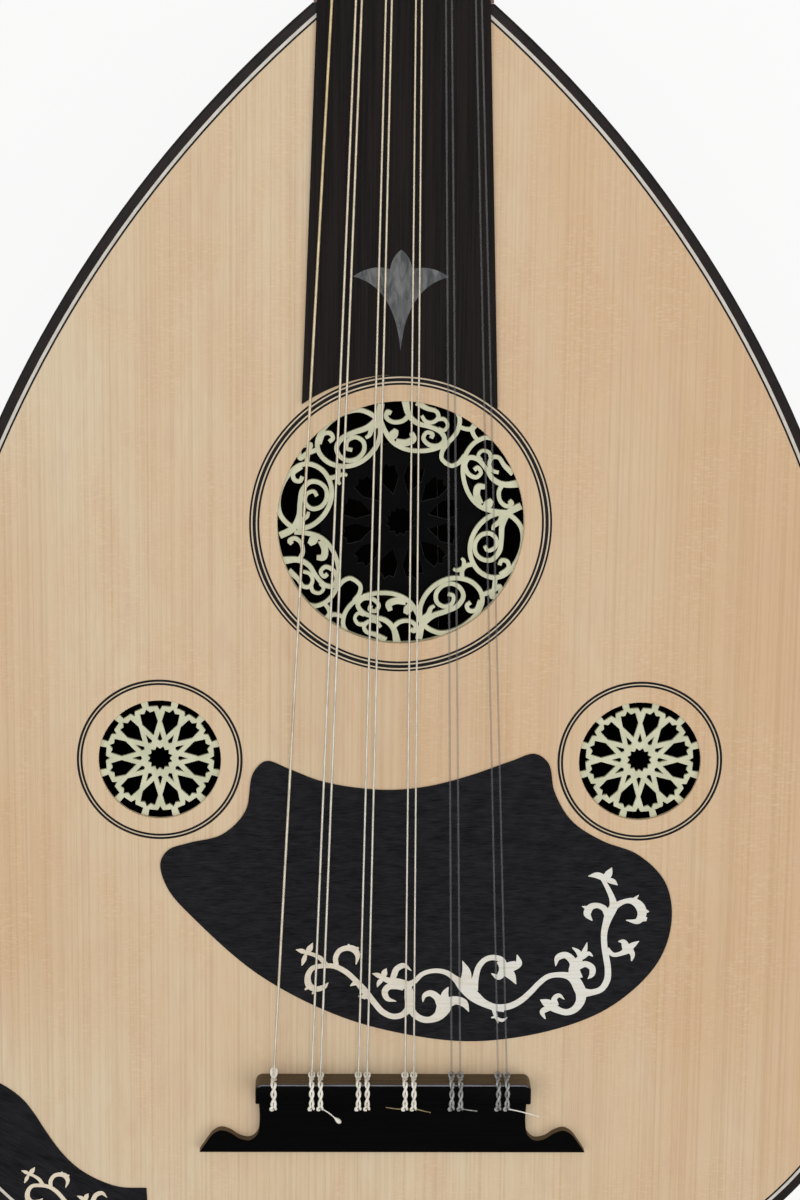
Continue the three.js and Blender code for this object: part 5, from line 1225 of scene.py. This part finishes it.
def pegOfString(index):  # up the pegs of the bass side, then back down those of the treble side
    return 2 * index if 2 * index < pegs["count"] else 2 * (pegs["count"] - index) - 1


def stringPath(index):
    # From the tie hole straight to the nut, down to the peg's top along a tangent, and round it in a helix
    radius = strings["diameters"][index] / 2
    place, side = pegPlaces[pegOfString(index)]
    pegZ = pegHeight(place)
    landX = nutPlaces[index] * strings["landShare"]
    bendY = nutBackY + radius
    startS, startZ = intoBox(bendY, strings["heightAtNut"])
    wound = pegRadius(landX, side, place) + strings["windingGap"] + radius
    away = hypot(place - startS, pegZ - startZ)
    land = atan2(pegZ - startZ, place - startS) + pi - acos(wound / away)
    steps = strings["turns"] * strings["stepsPerTurn"]
    turned = 2 * pi * np.arange(steps + 1) / strings["stepsPerTurn"]
    inward = -1 if landX > 0 else 1
    pitch = 2 * radius + strings["windingSpace"]
    coil = np.column_stack([landX + inward * pitch * turned / (2 * pi), place + wound * np.cos(land - turned),
                            pegZ + wound * np.sin(land - turned)])
    nutX, high, front = nutPlaces[index], strings["heightAtNut"], neck["length"]
    start = [(bridgePlaces[index], y, strings["heightAtBridge"]) for y in strings["startAt"]]
    slot = [(nutX, front - 0.3, high), (nutX, front, high), (nutX, front + neck["nutDepth"] / 2, high)]
    edge = [(nutX, bendY - 0.35, high), (nutX, bendY - 0.1, high - 0.06)]  # round the nut's back edge
    return np.vstack([start, slot, edge, fromBox(coil)])


def addStrings():
    for index, finish in enumerate(strings["finishes"]):
        share = strings["lookShare"] if index < strings["nylonFrom"] else 1
        rings = tubeRings(stringPath(index), strings["diameters"][index] / 2 * share, strings["sides"])
        addCarried(f"string{index + 1}", rings, finish, sharp=80, stands=[f"string_{index + 1}"])


# Knots: a strand comes back over the block to the string, loops under it and twists back to the hole
knots = {"pitch": 7.6, "spread": 0.56, "radius": 0.45, "flat": 0.8, "stand": 0.75, "bend": 1.5,
         "up": (8.2, 10.4), "back": (-1.4, -8.4), "cornerFrom": 0.15,
         "loopHalf": 1.15, "loopLow": 5.4, "loopHigh": 8, "loopIn": 0.8, "loopOut": 2.3, "loopFrom": 0.3,
         "teardrop": 0.35, "bassOut": 4.2, "bassLift": 0.5, "bassRadius": 0.52,
         "curl": [(-0.2, -9.9, 11.6), (-0.9, -9.8, 12.0), (-1.05, -9.2, 12.3)],
         "hole": [(0.75, -9.1, 12.1), (0.7, -9.7, 11.3), (0, -9.0, 9.6), (0, -8.8, 8.2), (0, -8.6, 7.2),
                  (0, -7.4, 7.0), (0, -5.5, 7.0)],
         "tailRadius": 0.22, "meltedTail": 2, "bead": [0.5, 0.85, 0.9, 0.55],
         "tails": {2: (6.8, -5.5, "knot_cream"), 5: (-6.4, 0.5, "knot_olive"), 6: (5.6, -1.5, "knot_olive"),
                   8: (5.6, -0.9, "knot_nylon"), 10: (11.2, -3.0, "knot_cream")}}


def knotCourse():
    # The middle line of the twist: up the front face, round the top edge, back along the top
    front, bend, top = knots["stand"], knots["bend"], bridge["blockHeight"] + knots["stand"]
    up = [(front, z) for z in np.linspace(*knots["up"], 7)]
    corner = [(front - bend + bend * cos(a), top - bend + bend * sin(a))
              for a in np.linspace(knots["cornerFrom"], pi / 2, 8)]
    back = [(y, top) for y in np.linspace(*knots["back"], 16)]
    return np.array(up + corner + back)


def knotTwist(place, raised, spread):
    # Two strands, half a turn apart, in a helix flattened towards the block
    course = knotCourse()
    step = np.gradient(course, axis=0)
    step /= np.linalg.norm(step, axis=1)[:, None]
    outward = np.column_stack([step[:, 1], -step[:, 0]])
    length = np.concatenate([[0], np.cumsum(np.linalg.norm(np.diff(course, axis=0), axis=1))])
    fine = np.linspace(0, length[-1], 90)
    centre, lift = (np.column_stack([np.interp(fine, length, line[:, i]) for i in (0, 1)])
                    for line in (course, outward))
    strands = []
    for phase in (0, pi):
        angle = 2 * pi * fine / knots["pitch"] + phase
        off = centre + [0, raised] + lift * (spread * knots["flat"] * np.sin(angle))[:, None]
        strands.append(np.column_stack([place + spread * np.cos(angle), off]))
    return strands


def addKnots():
    for index, place in enumerate(bridgePlaces):
        bass = index == 0
        radius = knots["bassRadius"] if bass else knots["radius"]
        raised = knots["bassLift"] if bass else 0
        first, second = knotTwist(place, raised, knots["spread"] * radius / knots["radius"])
        # teardrop: its low end stands off the block's face, under the string
        turn = np.linspace(knots["loopFrom"], 2 * pi - knots["loopFrom"], 15)
        share = (1 - np.cos(turn)) / 2
        out = (knots["bassOut"] if bass else knots["loopOut"]) - knots["loopIn"]
        loop = np.column_stack([place + knots["loopHalf"] * np.sin(turn) * share ** knots["teardrop"],
                                knots["loopIn"] + out * share,
                                knots["loopHigh"] + raised + (knots["loopLow"] - knots["loopHigh"]) * share])
        curl, hole = (np.array(knots[key]) + [place, 0, 0] for key in ("curl", "hole"))
        path = np.vstack([curl, first[::-3], loop[1:-1:2], second[::3], hole])
        finish = "knot_cream" if index < strings["nylonFrom"] else "knot_nylon"
        slot = strings["finishes"][index]
        addCarried(f"knot{index + 1}", tubeRings(smoothCurve(path, 5), radius, 10), finish, sharp=80,
                   slot=slot)
        if index in knots["tails"]:
            across, back, finish = knots["tails"][index]
            start = np.array([place + np.sign(across) * 0.6, -9.2, 12.3])
            steps = [(0, 0, 0), (across * 0.35, back * 0.25, 0.3), (across, back, -0.3)]
            tail = smoothCurve(start + np.array(steps), 8)
            size = np.full(len(tail), knots["tailRadius"])
            if index == knots["meltedTail"]:
                size[-len(knots["bead"]):] = knots["bead"]
            addCarried(f"knotTail{index + 1}", tubeRings(tail, size, 10), finish, sharp=80, slot=slot)


addStrings()
addKnots()
print("strings and knots made")


# The blocks and braces inside stay as the model has them
for name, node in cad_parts.items():
    inner = "inner_spruce" if name.startswith("brace") else "inner_block" if name.endswith("block") else None
    if inner:
        node.data.materials.clear()
        node.data.materials.append(finishes[inner])


# Floor, light and background: each lamp's name, place, aim, size and power
studio = {"floorSize": 20, "floorTone": 246, "floorPale": 250, "floorCell": 0.4, "floorGlow": 0.88,
          "worldStrength": 0.3, "skyGlow": 0.92,
          "lamps": [("key", (-1.3, -0.1, 2.4), (0, -0.1, 0.1), 1.6, 13.5),
                    ("fill", (1.3, -0.7, 2.0), (0, -0.1, 0.1), 1.8, 14.5),
                    ("front", (0, 0.25, 1.9), (0, -0.1, 0.2), 0.8, 9)]}


def addLight(name, place, aim, size, power):
    data = bpy.data.lights.new(name, "AREA")
    data.shape = "SQUARE"
    data.size = size
    data.energy = power
    lamp = bpy.data.objects.new(name, data)
    lamp.location = place
    lamp.rotation_mode = "QUATERNION"
    lamp.rotation_quaternion = (Vector(aim) - Vector(place)).to_track_quat("-Z", "Y")
    scene.collection.objects.link(lamp)


def addStudio():
    size = studio["floorSize"] / 2
    corners = [(-size, -size, 0), (size, -size, 0), (size, size, 0), (-size, size, 0)]
    mesh = bpy.data.meshes.new("floor")
    mesh.from_pydata(corners, [], [(0, 1, 2, 3)])
    floor = bpy.data.objects.new("floor", mesh)
    scene.collection.objects.link(floor)
    paint = Paint("floorPaint", 0.9)
    dull, pale = (tone(*[studio[key]] * 3) for key in ("floorTone", "floorPale"))
    grain = paint.cells(paint.coords(), studio["floorCell"])
    mesh.materials.append(paint.surface(paint.mix(dull, pale, grain)))
    # the camera sees part of the floor's white as its own glow, so the shadow stays but turns lighter
    glow = paint.add("ShaderNodeEmission", {}, {"Color": (1, 1, 1, 1), "Strength": 1})
    shader = Signal(paint, paint.shader.outputs[0])
    share = paint.straight() * studio["floorGlow"]
    joined = paint.add("ShaderNodeMixShader", {}, {0: share, 1: shader, 2: glow})
    paint.feed(paint.tree.nodes["Material Output"].inputs["Surface"], joined)
    world = bpy.data.worlds.new("studio")
    world.use_nodes = True
    scene.world = world
    sky = Graph(world.node_tree)
    dim, bright = (sky.add("ShaderNodeBackground", {}, {"Color": (1, 1, 1, 1), "Strength": strength})
                   for strength in (studio["worldStrength"], studio["skyGlow"]))
    joined = sky.add("ShaderNodeMixShader", {}, {0: sky.straight(), 1: dim, 2: bright})
    sky.feed(sky.tree.nodes["World Output"].inputs["Surface"], joined)
    for lamp in studio["lamps"]:
        addLight(*lamp)


addStudio()
scene.view_settings.view_transform = "Standard"
print("studio set")
